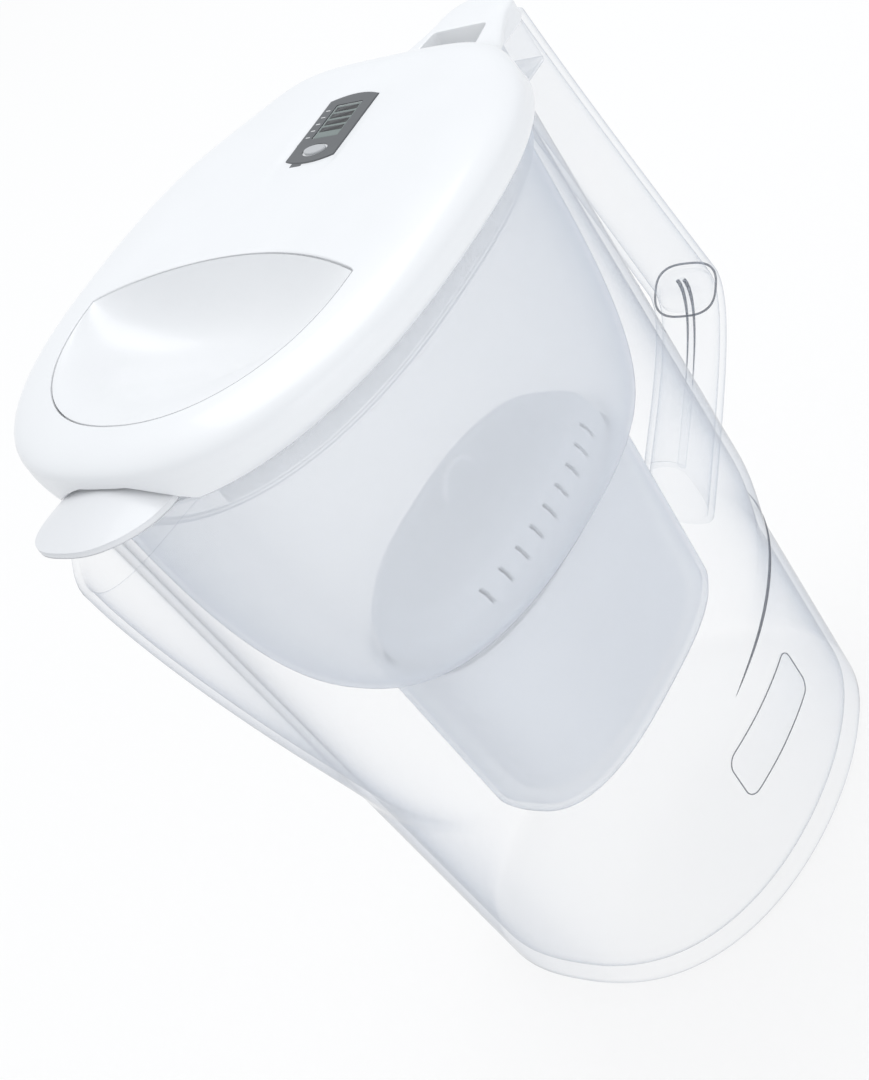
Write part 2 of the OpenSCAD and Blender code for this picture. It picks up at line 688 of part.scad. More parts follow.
module spout_flap_pin() {
    color("silver")
    pin_rod(spout_pin_x, spout_pin_z, spout_ear_y + ear_t / 2, pin_r);
}

// ---- Change indicator, laid out from its housing's floor upwards ----
memo_z = pocket_floor_z + 0.1;
memo_wall = 1.2;
plate_t = 1.2;
plate_z = memo_z + memo_h;
board_z = memo_z + 5;
board_t = 1.2;
cell_r = 5.8;
cell_h = 3;
window_l = 15;
window_w = 11;
window_x = memo_x + memo_l / 2 - 11;
button_x = memo_x - memo_l / 2 + 5.5;
button_r = 3;
button_gap = 0.2;

module memo_housing() {
    color("gray")
    difference() {
        memo_block(0, memo_z, memo_h);
        memo_block(-memo_wall, memo_z + memo_wall, memo_h);
    }
}

module memo_faceplate() {
    color("dimgray")
    difference() {
        memo_block(0, plate_z, plate_t);
        translate([window_x - window_l / 2, -window_w / 2, plate_z - 1]) cube([window_l, window_w, 4]);
        translate([button_x, 0, plate_z - 1]) cylinder(r = button_r + button_gap, h = 4, $fn = fine);
    }
}

module memo_display() {
    display_t = 2.4;
    color("darkseagreen")
    translate([window_x - window_l / 2 - 1, -window_w / 2 - 1, plate_z - display_t])
        cube([window_l + 2, window_w + 2, display_t]);
}

module memo_board() {
    color("green")
    memo_block(-memo_wall - 0.4, board_z, board_t);
}

module memo_battery() {
    color("silver")
    translate([window_x, 0, board_z - cell_h]) cylinder(r = cell_r, h = cell_h, $fn = fine);
}

contact_h = 0.6;
module memo_contact_dome() {
    color("gold")
    translate([button_x, 0, board_z + board_t]) cylinder(r1 = 2.4, r2 = 1.2, h = contact_h, $fn = fine);
}

module memo_button() {
    foot_z = board_z + board_t + contact_h + button_travel + 0.1;
    color("lightgray")
    translate([button_x, 0, foot_z]) {
        cylinder(r = button_r, h = plate_z + plate_t + 0.4 - foot_z, $fn = fine);
        cylinder(r = button_r + 0.9, h = plate_z - 0.1 - foot_z, $fn = fine);
    }
}

jug_body();
handle_grip();
handle_floor();
handle_strut();
handle_bridge();
funnel_hopper();
cartridge_chamber();
lid_shell();
lid_skirt();
refill_flap();
refill_flap_pin();
refill_flap_spring();
spout_flap();
spout_flap_pin();
memo_housing();
memo_faceplate();
memo_display();
memo_board();
memo_battery();
memo_contact_dome();
memo_button();
cartridge_housing();
cartridge_cap();
cartridge_inlet_mesh();
cartridge_outlet_screen();
cartridge_seal();
cartridge_media();
cartridge_pull_ring();
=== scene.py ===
"""Water filter pitcher with a flip lid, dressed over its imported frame. Shapes are worked out in millimetres."""
import math

import bpy
import numpy as np
from mathutils import Matrix


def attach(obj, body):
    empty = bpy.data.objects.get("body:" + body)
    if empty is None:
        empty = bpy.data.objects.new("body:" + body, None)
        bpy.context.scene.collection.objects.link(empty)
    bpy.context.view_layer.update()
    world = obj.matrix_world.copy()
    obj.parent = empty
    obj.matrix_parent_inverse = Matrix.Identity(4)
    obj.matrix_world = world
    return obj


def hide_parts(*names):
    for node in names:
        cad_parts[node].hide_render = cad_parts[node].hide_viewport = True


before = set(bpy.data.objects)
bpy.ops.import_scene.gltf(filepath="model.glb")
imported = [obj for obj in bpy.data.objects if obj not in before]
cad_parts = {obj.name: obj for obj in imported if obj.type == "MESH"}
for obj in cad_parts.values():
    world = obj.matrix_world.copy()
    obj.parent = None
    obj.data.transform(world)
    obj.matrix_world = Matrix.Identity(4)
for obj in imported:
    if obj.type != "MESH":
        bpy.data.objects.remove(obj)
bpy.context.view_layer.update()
scene = bpy.context.scene
MM = 0.001

# ---- Sizes in millimetres, as in the part's source ----
RIM_Z = 255.0
FRONT_BASE, FRONT_RIM = 82.7, 102.0
BACK_BASE, BACK_RIM = 76.0, 88.0
HALF_BASE, HALF_RIM = 66.5, 67.5
WALL, FLOOR = 2.5, 4.0
POWER = 2.45
STEP, STEP_Z, STEP_DROP, STEP_SOFT, STEP_START = 5.0, 92.0, 24.0, 14.0, -12.0
SPOUT_Z0, SPOUT_REACH, SPOUT_HALF, SPOUT_DIP = 98.0, 24.0, 29.0, 8.0
GRIP_HALF, GRIP_DEPTH, GRIP_WALL, GRIP_X, GRIP_LEAN = 13.0, 13.0, 2.2, 121.0, 14.0
GRIP_FOOT, GRIP_TOP, STRUT_Z = 124.0, 252.0, 74.0
LIP_T = 1.2
LID_Z = RIM_Z + 0.2 + LIP_T
CREST_Z = LID_Z + 8.5
DOME_H = 11.0
LID_WALL = 2.2
PLATE_Z = CREST_Z + 9.3
MEMO_X, MEMO_L, MEMO_W = 39.5, 33.0, 21.0
HINGE_X, HINGE_Z = -76.0, CREST_Z - 2.0
SPOUT_PIN_X, SPOUT_PIN_Z = -94.0, LID_Z + 2.7


def spow(v, e):
    """Signed power of a sine or cosine, which turns a circle into an oval."""
    return np.sign(v) * np.abs(v) ** e


def ease(t):
    """Smooth step: 3t^2 - 2t^3, held at 0 and 1 outside."""
    c = np.clip(t, 0, 1)
    return c * c * (3 - 2 * c)


def mix(a, b, t):
    """Straight blend from a to b."""
    return a + (b - a) * t


def angles(n):
    """n equal steps round a full turn."""
    return np.linspace(0, 2 * math.pi, n, endpoint=False)


def oval(cx, a, b, z, power=POWER, n=256):
    """Level superellipse: x = cx + a cos^(2/p), y = b sin^(2/p)."""
    t = angles(n)
    x, y = cx + a * spow(np.cos(t), 2 / power), b * spow(np.sin(t), 2 / power)
    return np.stack([x, y, np.full(n, float(z))], 1)


# ---- Meshes from rings ----
def ring_mesh(rings, looped=False):
    """Closed surface through a stack of closed rings. A looped stack joins its last ring to its first;
    otherwise each end is closed by a fan to its middle."""
    rings = np.asarray(rings, float)
    m, n = rings.shape[:2]
    j = np.arange(m if looped else m - 1)[:, None]
    i = np.arange(n)[None, :]
    k, up = (i + 1) % n, (j + 1) % m
    quads = np.stack(np.broadcast_arrays(j * n + i, j * n + k, up * n + k, up * n + i), -1).reshape(-1, 4)
    verts = rings.reshape(-1, 3)
    faces = quads.tolist()
    if not looped:
        verts = np.concatenate([verts, rings[0].mean(0)[None], rings[-1].mean(0)[None]])
        i, k = np.arange(n), (np.arange(n) + 1) % n
        low = np.stack([np.full(n, m * n), k, i], 1)
        top = np.stack([np.full(n, m * n + 1), (m - 1) * n + i, (m - 1) * n + k], 1)
        faces += low.tolist() + top.tolist()
    return verts, faces


def signed_volume(verts, faces):
    """Volume enclosed by the faces, positive where they point outwards."""
    total = 0.0
    for size in (3, 4):
        f = np.array([q for q in faces if len(q) == size])
        if not len(f):
            continue
        for a, b in ((1, 2), (2, 3))[: size - 2]:
            total += np.einsum("ij,ij->i", verts[f[:, 0]], np.cross(verts[f[:, a]], verts[f[:, b]])).sum() / 6
    return total


def bead(path, radius, closed=True, n=8):
    """Thin round bead along a line in space; its radius may change along the line."""
    path = np.asarray(path, float)
    along = np.roll(path, -1, 0) - np.roll(path, 1, 0) if closed else np.gradient(path, axis=0)
    along = along / np.linalg.norm(along, axis=1)[:, None]
    side = np.cross(along, [0.3, 0.2, 1.0])
    side = side / np.linalg.norm(side, axis=1)[:, None]
    rise = np.cross(along, side)
    a = angles(n)[None, :, None]
    r = np.broadcast_to(radius, len(path))[:, None, None]
    return ring_mesh(path[:, None] + r * (np.cos(a) * side[:, None] + np.sin(a) * rise[:, None]), looped=closed)


def resample(line, n):
    """The same closed line with n points at equal steps."""
    loop = np.concatenate([line, line[:1]])
    d = np.concatenate([[0], np.cumsum(np.hypot(*np.diff(loop, axis=0).T))])
    s = np.linspace(0, d[-1], n, endpoint=False)
    return np.stack([np.interp(s, d, loop[:, i]) for i in (0, 1)], 1)


def round_rect(x0, x1, y0, y1, r, n=160):
    """Closed rectangle with round corners."""
    a = np.linspace(0, math.pi / 2, 9)
    pts = []
    for k, (sx, sy) in enumerate(((1, 1), (-1, 1), (-1, -1), (1, -1))):
        cx, cy = (x0 + x1) / 2 + sx * ((x1 - x0) / 2 - r), (y0 + y1) / 2 + sy * ((y1 - y0) / 2 - r)
        pts.append(np.stack([cx + r * np.cos(a + k * math.pi / 2), cy + r * np.sin(a + k * math.pi / 2)], 1))
    return resample(np.concatenate(pts), n)


def piece(name, parts, body, material, stands_for=(), sharp=35):
    """One object from a list of closed (verts, faces) parts in millimetres, riding on a body."""
    all_v, all_f, at = [], [], 0
    for verts, faces in parts:
        if signed_volume(verts, faces) < 0:
            faces = [f[::-1] for f in faces]
        all_v.append(verts)
        all_f += [[q + at for q in f] for f in faces]
        at += len(verts)
    mesh = bpy.data.meshes.new(name)
    mesh.from_pydata((np.concatenate(all_v) * MM).tolist(), [], all_f)
    mesh.polygons.foreach_set("use_smooth", np.ones(len(mesh.polygons), bool))
    mesh.set_sharp_from_angle(angle=math.radians(sharp))
    mesh.materials.append(material)
    obj = bpy.data.objects.new(name, mesh)
    scene.collection.objects.link(obj)
    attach(obj, body)
    if stands_for:
        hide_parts(*stands_for)
    return obj


# ---- Materials ----
class Nodes:
    """A material's node tree with short ways to add and link nodes."""

    def __init__(self, name):
        self.mat = bpy.data.materials.new(name)
        self.mat.use_nodes = True
        self.tree = self.mat.node_tree
        self.tree.nodes.clear()
        self.out = self.add("ShaderNodeOutputMaterial")
        self.place = self.add("ShaderNodeTexCoord").outputs["Object"]

    def add(self, kind, **values):
        node = self.tree.nodes.new(kind)
        for key, value in values.items():
            if key in node.inputs:
                node.inputs[key].default_value = value
            else:
                setattr(node, key, value)
        return node

    def link(self, a, b):
        self.tree.links.new(a, b)

    def noise(self, scale, detail=3.0, rough=0.5, stretch=None):
        node = self.add("ShaderNodeTexNoise", Scale=scale, Detail=detail, Roughness=rough)
        source = self.place
        if stretch:
            turn = self.add("ShaderNodeMapping", Scale=stretch)
            self.link(source, turn.inputs["Vector"])
            source = turn.outputs["Vector"]
        self.link(source, node.inputs["Vector"])
        return node.outputs["Fac"]

    def ramp(self, source, stops):
        """Colour ramp; stops are (place, grey or colour)."""
        node = self.add("ShaderNodeValToRGB")
        els = node.color_ramp.elements
        while len(els) < len(stops):
            els.new(0.5)
        for el, (at, c) in zip(els, stops):
            el.position = at
            el.color = (c, c, c, 1) if isinstance(c, float) else (*c, 1)
        self.link(source, node.inputs["Fac"])
        return node.outputs["Color"]

    def bump(self, source, strength, depth):
        node = self.add("ShaderNodeBump", Strength=strength, Distance=depth)
        self.link(source, node.inputs["Height"])
        return node.outputs["Normal"]


def moulded(name, colour, rough, vary=0.02, grain=900.0, depth=0.00002, coat=0.0, sheen_rough=0.06):
    """Moulded plastic: faint colour drift, roughness that drifts with it and a fine grain in the surface."""
    n = Nodes(name)
    p = n.add("ShaderNodeBsdfPrincipled")
    p.inputs["IOR"].default_value = 1.46
    p.inputs["Coat Weight"].default_value = coat
    low = tuple(max(0.0, c - vary) for c in colour)
    high = tuple(min(1.0, c + vary * 0.4) for c in colour)
    n.link(n.ramp(n.noise(14.0), [(0.35, low), (0.65, high)]), p.inputs["Base Color"])
    n.link(n.ramp(n.noise(60.0), [(0.3, max(0.0, rough - sheen_rough)), (0.7, rough + sheen_rough)]),
           p.inputs["Roughness"])
    n.link(n.bump(n.noise(grain, 2.0), 0.3, depth), p.inputs["Normal"])
    n.link(p.outputs["BSDF"], n.out.inputs["Surface"])
    return n.mat


def see_through(name, face, edge, least, most, sharpness, rough, haze, dark_from=0.9, dark=(0.2, 0.22, 0.26)):
    """Clear or frosted plastic: light passes face on and less at a glancing angle, where the wall is looked
    through lengthwise, so rims and sides show as blue-grey lines. Cover is least face on, plus up to haze in
    faint clouds, plus most times facing to the power sharpness; the colour goes from face over edge to dark."""
    n = Nodes(name)
    p = n.add("ShaderNodeBsdfPrincipled", Roughness=rough, IOR=1.46)
    facing = n.add("ShaderNodeLayerWeight", Blend=0.5).outputs["Facing"]
    n.link(n.ramp(facing, [(0.0, face), (0.55, mix_colour(face, edge, 0.4)), (dark_from, edge), (1.0, dark)]),
           p.inputs["Base Color"])
    cloud = n.ramp(n.noise(9.0, 2.0), [(0.3, least), (0.7, least + haze)])
    curve = n.add("ShaderNodeMath", operation="POWER")
    n.link(facing, curve.inputs[0])
    curve.inputs[1].default_value = sharpness
    reach = n.add("ShaderNodeMath", operation="MULTIPLY")
    n.link(curve.outputs[0], reach.inputs[0])
    reach.inputs[1].default_value = most
    total = n.add("ShaderNodeMath", operation="ADD", use_clamp=True)
    n.link(cloud, total.inputs[0])
    n.link(reach.outputs[0], total.inputs[1])
    clear = n.add("ShaderNodeBsdfTransparent")
    join = n.add("ShaderNodeMixShader")
    n.link(total.outputs[0], join.inputs[0])
    n.link(clear.outputs[0], join.inputs[1])
    n.link(p.outputs[0], join.inputs[2])
    n.link(join.outputs[0], n.out.inputs["Surface"])
    return n.mat


def mix_colour(a, b, t):
    return tuple(mix(x, y, t) for x, y in zip(a, b))


CLEAR = see_through("clear_jug_plastic", (0.7, 0.75, 0.83), (0.44, 0.5, 0.6), least=0.01, most=0.95,
                    sharpness=4.6, rough=0.05, haze=0.012, dark_from=0.8, dark=(0.06, 0.07, 0.1))
HANDLE_CLEAR = see_through("clear_handle_plastic", (0.72, 0.78, 0.86), (0.44, 0.5, 0.6), least=0.03, most=0.95,
                           sharpness=3.9, rough=0.05, haze=0.02, dark_from=0.8, dark=(0.06, 0.07, 0.1))
FROST = see_through("frosted_funnel_plastic", (0.97, 0.98, 0.995), (0.72, 0.76, 0.83), least=0.25, most=0.6,
                    sharpness=3.0, rough=0.3, haze=0.05)
# Dark, mostly opaque plastic for the thin beads along clear edges: painted shade for the dark lines that clear
# edges show where light bends.
EDGE_SHADE_LINE = see_through("clear_plastic_painted_edge_shade", (0.2, 0.21, 0.24), (0.12, 0.13, 0.15), least=0.6, most=0.3,
                        sharpness=1.5, rough=0.25, haze=0.06)
LID_WHITE = moulded("white_lid_plastic", (0.86, 0.865, 0.87), 0.34, 0.012, coat=0.15)
FLAP_WHITE = moulded("white_flap_plastic", (0.85, 0.855, 0.86), 0.36, 0.012, coat=0.1)
TONGUE_WHITE = moulded("white_spout_flap_plastic", (0.76, 0.765, 0.775), 0.36, 0.012, coat=0.1)
CART_WHITE = moulded("cartridge_plastic", (0.9, 0.91, 0.93), 0.45, 0.02)
CART_GREY = moulded("cartridge_cap_plastic", (0.86, 0.88, 0.91), 0.45, 0.02)
STEEL = moulded("drawn_pin_steel", (0.55, 0.55, 0.57), 0.3, 0.03)
DARK = moulded("dark_indicator_plastic", (0.055, 0.06, 0.065), 0.4, 0.01)
FACE_GREY = moulded("indicator_face_plastic", (0.11, 0.115, 0.12), 0.35, 0.015)
GREEN = moulded("lacquered_board", (0.05, 0.2, 0.1), 0.35, 0.02)
GOLD = moulded("stamped_contact", (0.6, 0.45, 0.2), 0.3, 0.03)
PALE_GREY = moulded("button_plastic", (0.5, 0.51, 0.52), 0.4, 0.02)
LCD = moulded("display_face", (0.2, 0.235, 0.225), 0.5, 0.015)
INK = moulded("dark_segments", (0.02, 0.02, 0.022), 0.3, 0.004)
PRINT = moulded("pale_print", (0.7, 0.7, 0.7), 0.5, 0.02)
MESH = moulded("woven_filter_mesh", (0.8, 0.82, 0.85), 0.7, 0.08, grain=2500.0, depth=0.0001)
RUBBER = moulded("soft_seal_rubber", (0.5, 0.51, 0.53), 0.7, 0.02)
MEDIA = moulded("filter_granules", (0.03, 0.03, 0.035), 0.8, 0.02, grain=1800.0, depth=0.0004)

CARRIED = {
    "cartridge_housing": CART_WHITE, "cartridge_cap": CART_GREY, "cartridge_pull_ring": CART_WHITE,
    "cartridge_inlet_mesh": MESH, "cartridge_outlet_screen": MESH, "cartridge_seal": RUBBER,
    "cartridge_media": MEDIA, "refill_flap_pin": STEEL, "spout_flap_pin": STEEL, "refill_flap_spring": STEEL,
    "memo_housing": DARK, "memo_board": GREEN, "memo_battery": STEEL, "memo_contact_dome": GOLD,
    "lid_skirt": LID_WHITE,
}
for node, material in CARRIED.items():
    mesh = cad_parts[node].data
    mesh.materials.clear()
    mesh.materials.append(material)


# ---- Jug ----
def front_x(z):
    return -mix(FRONT_BASE, FRONT_RIM, z / RIM_Z)


def back_x(z):
    return mix(BACK_BASE, BACK_RIM - STEP, z / RIM_Z) + STEP


def half_y(z):
    return mix(HALF_BASE, HALF_RIM, z / RIM_Z)


def shoulder_in(x, z):
    """The rear shoulder stands out over the lower body; its crease falls towards the front and fades."""
    along = (x - STEP_START) / (BACK_BASE - STEP_START)
    crease = STEP_Z - STEP_DROP * (1 - np.clip(along, 0, 1))
    return STEP * ease(along * 1.6) * (1 - ease((z - crease + STEP_SOFT) / (2 * STEP_SOFT)))


def spout_out(z):
    s = np.clip((z - SPOUT_Z0) / (RIM_Z - SPOUT_DIP - SPOUT_Z0), 0, 1)
    return SPOUT_REACH * (1 - (1 - s) ** 1.5)


def jug_ring(f, inset, floor_z=0.0, n=256):
    """Oval ring at share f of the height, drawn in by inset, pushed out and dipped at the spout."""
    t = angles(n)
    level = mix(floor_z, RIM_Z, f)
    mid = (front_x(level) + back_x(level)) / 2
    long_r = (back_x(level) - front_x(level)) / 2
    x = mid + (long_r - inset) * spow(np.cos(t), 2 / POWER)
    y = (half_y(level) - inset) * spow(np.sin(t), 2 / POWER)
    w = np.clip(1 - (y / (SPOUT_HALF - inset * 0.5)) ** 2, 0, 1) ** 1.3 * (x < 0)
    k = 1 - shoulder_in(x, level) / long_r
    z = mix(floor_z, RIM_Z - SPOUT_DIP * w, f)
    return np.stack([mid + (x - mid) * k - spout_out(level) * w, y * mix(1, k, 0.7), z], 1)


RIM_F = 0.996  # share of the height where the rim starts to round over
FILLET_F, FILLET_R = 0.03, 6.0  # the inner floor's rounding, as a share of the height and in plan


def jug_shell():
    """Outer wall upwards, a rounded rim, the inner wall downwards and a rounded inner floor."""
    up = np.linspace(0.008, RIM_F, 96)
    turn = np.linspace(0, math.pi, 9)[1:-1]
    rings = [jug_ring(0, r) for r in (60.0, 30.0, 8.0, 3.0)]
    rings += [jug_ring(0.0012, 1.7), jug_ring(0.004, 0.6)]
    rings += [jug_ring(f, 0) for f in up]
    rings += [jug_ring(RIM_F + (1 - RIM_F) * math.sin(a), WALL / 2 * (1 - math.cos(a))) for a in turn]
    rings += [jug_ring(f, WALL, FLOOR) for f in np.linspace(RIM_F, FILLET_F, 84)]
    rings += [jug_ring(FILLET_F * (1 - math.sin(a)), WALL + FILLET_R * (1 - math.cos(a)), FLOOR)
              for a in np.linspace(0, math.pi / 2, 7)[1:]]
    rings += [jug_ring(0, r, FLOOR) for r in (16.0, 34.0, 60.0)]
    return ring_mesh(rings)


piece("jug_wall", [jug_shell()], "jug", CLEAR, ["jug_body"], 40)


def on_wall(x, z, out, side=-1):
    """Points on the jug's side wall at given x and height, moved outwards by out."""
    mid, long_r = (front_x(z) + back_x(z)) / 2, (back_x(z) - front_x(z)) / 2
    k = 1 - shoulder_in(x, z) / long_r
    y = half_y(z) * np.clip(1 - np.abs((x - mid) / long_r) ** POWER, 0, 1) ** (1 / POWER)
    return np.stack([mid + (x - mid) * k, side * (y * mix(1, k, 0.7) + out), z], 1)


EDGE_Z, EDGE_RISE, EDGE_END, EDGE_R = 72.0, 12.0, 0.96, 0.5


def shoulder_edge_shade_line(side):
    """Thin dark bead along the rear shoulder's edge, painted shade for the dark line the clear edge shows: it
    falls towards the front and thins out at both ends.
    """
    along = np.linspace(0, EDGE_END, 80)
    width = EDGE_R * np.sin(math.pi * np.clip(along / EDGE_END, 0, 1)) ** 0.6 + 0.02
    x = STEP_START + (BACK_BASE - STEP_START) * along
    return bead(on_wall(x, EDGE_Z + EDGE_RISE * along, -0.1, side), width, closed=False)


piece("shoulder_edge_shade_line", [shoulder_edge_shade_line(s) for s in (-1, 1)], "jug", EDGE_SHADE_LINE, (), 60)

SIDE_LINE = round_rect(-29.5, 20.0, 41.0, 60.0, 4.5, 240)
SIDE_OUT, SIDE_IN = 0.8, -0.4


def side_plate():
    """Bare raised plate that follows the near wall."""
    centre = SIDE_LINE.mean(0)

    def ring(v, out):
        q = centre + (SIDE_LINE - centre) * v
        return on_wall(q[:, 0], q[:, 1], out)

    levels = (0.06, 0.3, 0.55, 0.8, 0.93)
    rings = [ring(v, SIDE_OUT) for v in levels]
    rings += [ring(0.985, SIDE_OUT - 0.02), ring(1.0, SIDE_OUT - 0.3), ring(1.0, SIDE_IN)]
    return ring_mesh(rings + [ring(v, SIDE_IN) for v in levels[::-1]])


piece("side_plate", [side_plate()], "jug", CLEAR, (), 40)
# Dark bead round the side plate: painted shade along its edge.
piece("side_plate_edge_shade_line", [bead(on_wall(SIDE_LINE[:, 0], SIDE_LINE[:, 1], 0.55), 0.2)], "jug",
      EDGE_SHADE_LINE, (), 60)


# ---- Handle ----
GRIP_POWER = 2.8  # of the grip's section
FLOOR_DEEP, FLOOR_WIDE, FLOOR_BACK, FLOOR_SLOPE = 8.2, 13.8, 0.8, 0.72
FLOOR_LOW, FLOOR_TOP, RIB_R = 120.0, 122.0, 1.5


def grip_mid(z):
    """Middle of the grip at height z."""
    return GRIP_X + GRIP_LEAN * ((GRIP_TOP - z) / (GRIP_TOP - GRIP_FOOT)) ** 1.1


def wall_back(z):
    """Where the jug's outer wall ends at the back."""
    return back_x(z) - shoulder_in(back_x(z), z)


def handle_path(s):
    """The grip runs down to s = 1 and the strut bends in to the jug's wall at s = 2.
    Gives the middle, the turn of the section and its half depth and half width."""
    if s <= 1:
        z = mix(GRIP_TOP, GRIP_FOOT, s)
        return grip_mid(z), z, 0.0, GRIP_DEPTH / 2 + 2 * s * s, GRIP_HALF + s
    q = s - 1
    start = np.array([grip_mid(GRIP_FOOT), GRIP_FOOT])
    end = np.array([wall_back(STRUT_Z) - 1.2, STRUT_Z])
    p1, p2 = start - [0.5, 14], end + [30, 20]
    mid = start * (1 - q) ** 3 + 3 * p1 * q * (1 - q) ** 2 + 3 * p2 * q * q * (1 - q) + end * q**3
    return mid[0], mid[1], math.pi / 2 * q, mix(GRIP_DEPTH / 2 + 2, 15.0, q**3), GRIP_HALF + 1 - 2 * q


def path_ring(s, deep, wide, n=96):
    """Section across the handle's path, with half depth deep and half width wide."""
    x, z, turn = handle_path(s)[:3]
    t = angles(n)
    u = deep * spow(np.cos(t), 2 / GRIP_POWER)
    zz = z - u * math.sin(turn)
    lean = wall_back(zz) - wall_back(STRUT_Z) if s >= 2 else 0.0
    return np.stack([x + u * math.cos(turn) + lean, wide * spow(np.sin(t), 2 / GRIP_POWER), zz], 1)


def handle_ring(s, inset):
    """The handle's own section, drawn in by inset."""
    deep, wide = handle_path(s)[3:]
    return path_ring(s, deep - inset, wide - inset)


def handle_floor(inset, z):
    """Outline of the floor across the grip, which rises towards the back."""
    t = angles(96)
    u = (FLOOR_DEEP - inset) * spow(np.cos(t), 2 / GRIP_POWER)
    y = (FLOOR_WIDE - inset) * spow(np.sin(t), 2 / GRIP_POWER)
    return np.stack([grip_mid(GRIP_FOOT) - FLOOR_BACK + u, y, z + FLOOR_SLOPE * u], 1)


def handle_shell():
    """Hollow tube along the handle's path, open at both ends, the floor across it and the rib below that."""
    s = np.linspace(0, 2, 90)
    tube = ring_mesh([handle_ring(v, 0) for v in s] + [handle_ring(v, GRIP_WALL) for v in s[::-1]], looped=True)
    insets = (9.0, 4.0, GRIP_WALL)
    plate = ring_mesh([handle_floor(v, FLOOR_LOW) for v in insets]
                      + [handle_floor(v, FLOOR_TOP) for v in insets[::-1]])
    rib = ring_mesh([path_ring(v, RIB_R, RIB_R, 32) for v in np.linspace(0.99, 1.9, 40)])
    return [tube, plate, rib]


piece("handle_tube", handle_shell(), "jug", HANDLE_CLEAR,
      ["handle_grip", "handle_strut", "handle_floor"], 40)
# Dark beads along the handle's floor and the rib's two sides: painted shade along these edges.
rib_side = [np.array([path_ring(v, RIB_R, RIB_R, 4)[k] for v in np.linspace(0.99, 1.6, 30)]) for k in (1, 3)]
piece("handle_floor_edge_shade_line", [bead(handle_floor(0.3, FLOOR_TOP - 0.8), 0.42)]
      + [bead(line, np.linspace(0.75, 0.12, 30), closed=False) for line in rib_side],
      "jug", EDGE_SHADE_LINE, (), 60)


def rounded_bar(x0, x1, y0, y1, z0, z1, r=0.5, n=4):
    """Closed box with rounded edges: a superellipse plan drawn in towards its top and bottom."""
    c = np.linspace(0, math.pi / 2, n + 1)
    a4 = np.concatenate([c + k * math.pi / 2 for k in range(4)])
    corner = np.stack([np.cos(a4), np.sin(a4)], 1)
    sx = np.repeat([1, -1, -1, 1], n + 1)
    sy = np.repeat([1, 1, -1, -1], n + 1)
    cx, cy = (x0 + x1) / 2, (y0 + y1) / 2

    def ring(inset, z):
        rr = max(r - inset, 0.01)
        return np.stack([cx + sx * ((x1 - x0) / 2 - r) + rr * corner[:, 0],
                         cy + sy * ((y1 - y0) / 2 - r) + rr * corner[:, 1], np.full(len(sx), float(z))], 1)

    rise = [(r * (1 - math.sin(a)), z0 + r * (1 - math.cos(a))) for a in c]
    fall = [(r * (1 - math.sin(a)), z1 - r * (1 - math.cos(a))) for a in c[::-1]]
    return ring_mesh([ring(i, z) for i, z in rise + fall])


def bridge():
    """Open-topped channel from the jug's back wall to the grip."""
    half, z0 = GRIP_HALF + 2, GRIP_TOP - 16
    x0, x1 = back_x(z0) - WALL / 2, grip_mid(z0) - GRIP_DEPTH / 2 + GRIP_WALL - 0.1
    parts = [rounded_bar(x0, x1, -half, half, z0, z0 + 2)]
    for side in (-1, 1):
        lo, hi = sorted((side * half, side * (half - 1.8)))
        parts.append(rounded_bar(x0, x1, lo, hi, z0 + 1, GRIP_TOP))
    return parts


piece("handle_channel", bridge(), "jug", HANDLE_CLEAR, ["handle_bridge"], 40)


# ---- Funnel ----
COLLAR_Z = RIM_Z - 10
GAP = 0.6  # between funnel and jug
LEDGE = 2.5  # the collar stands out over the hopper
HIP = 5.0  # the chamber widens by this up to its mouth
COLLAR_A = (back_x(COLLAR_Z) - front_x(COLLAR_Z)) / 2 - WALL - GAP
COLLAR_B = half_y(COLLAR_Z) - WALL - GAP
COLLAR_MID = (front_x(COLLAR_Z) + back_x(COLLAR_Z)) / 2
HOPPER_Z, CHAMBER_Z, CHAMBER_A, CHAMBER_B = 142.0, 60.0, 57.0, 30.0
CHAMBER_POWER, OUTLET_R, CHAMBER_FLOOR = 2.8, 14.0, 2.0
FUNNEL_WALL = 1.8


def hopper_ring(s, inset):
    """The hopper opens from the chamber's mouth to the collar: width share (1 - (1 - s)^3)^0.42."""
    z = mix(HOPPER_Z, COLLAR_Z, s)
    w = (1 - (1 - s) ** 3) ** 0.42
    full = min(COLLAR_A, (back_x(z) - front_x(z)) / 2 - WALL - GAP) - LEDGE
    return oval(mix(0, COLLAR_MID, w), mix(CHAMBER_A + HIP, full, w) - inset,
                mix(CHAMBER_B + HIP, COLLAR_B - LEDGE, w) - inset, z)


def chamber_ring(z, inset):
    """The chamber's section at height z, drawn in by inset."""
    s = (z - CHAMBER_Z) / (HOPPER_Z - CHAMBER_Z)
    return oval(0, CHAMBER_A + HIP * s - inset, CHAMBER_B + HIP * s - inset, z, mix(CHAMBER_POWER, POWER, s))


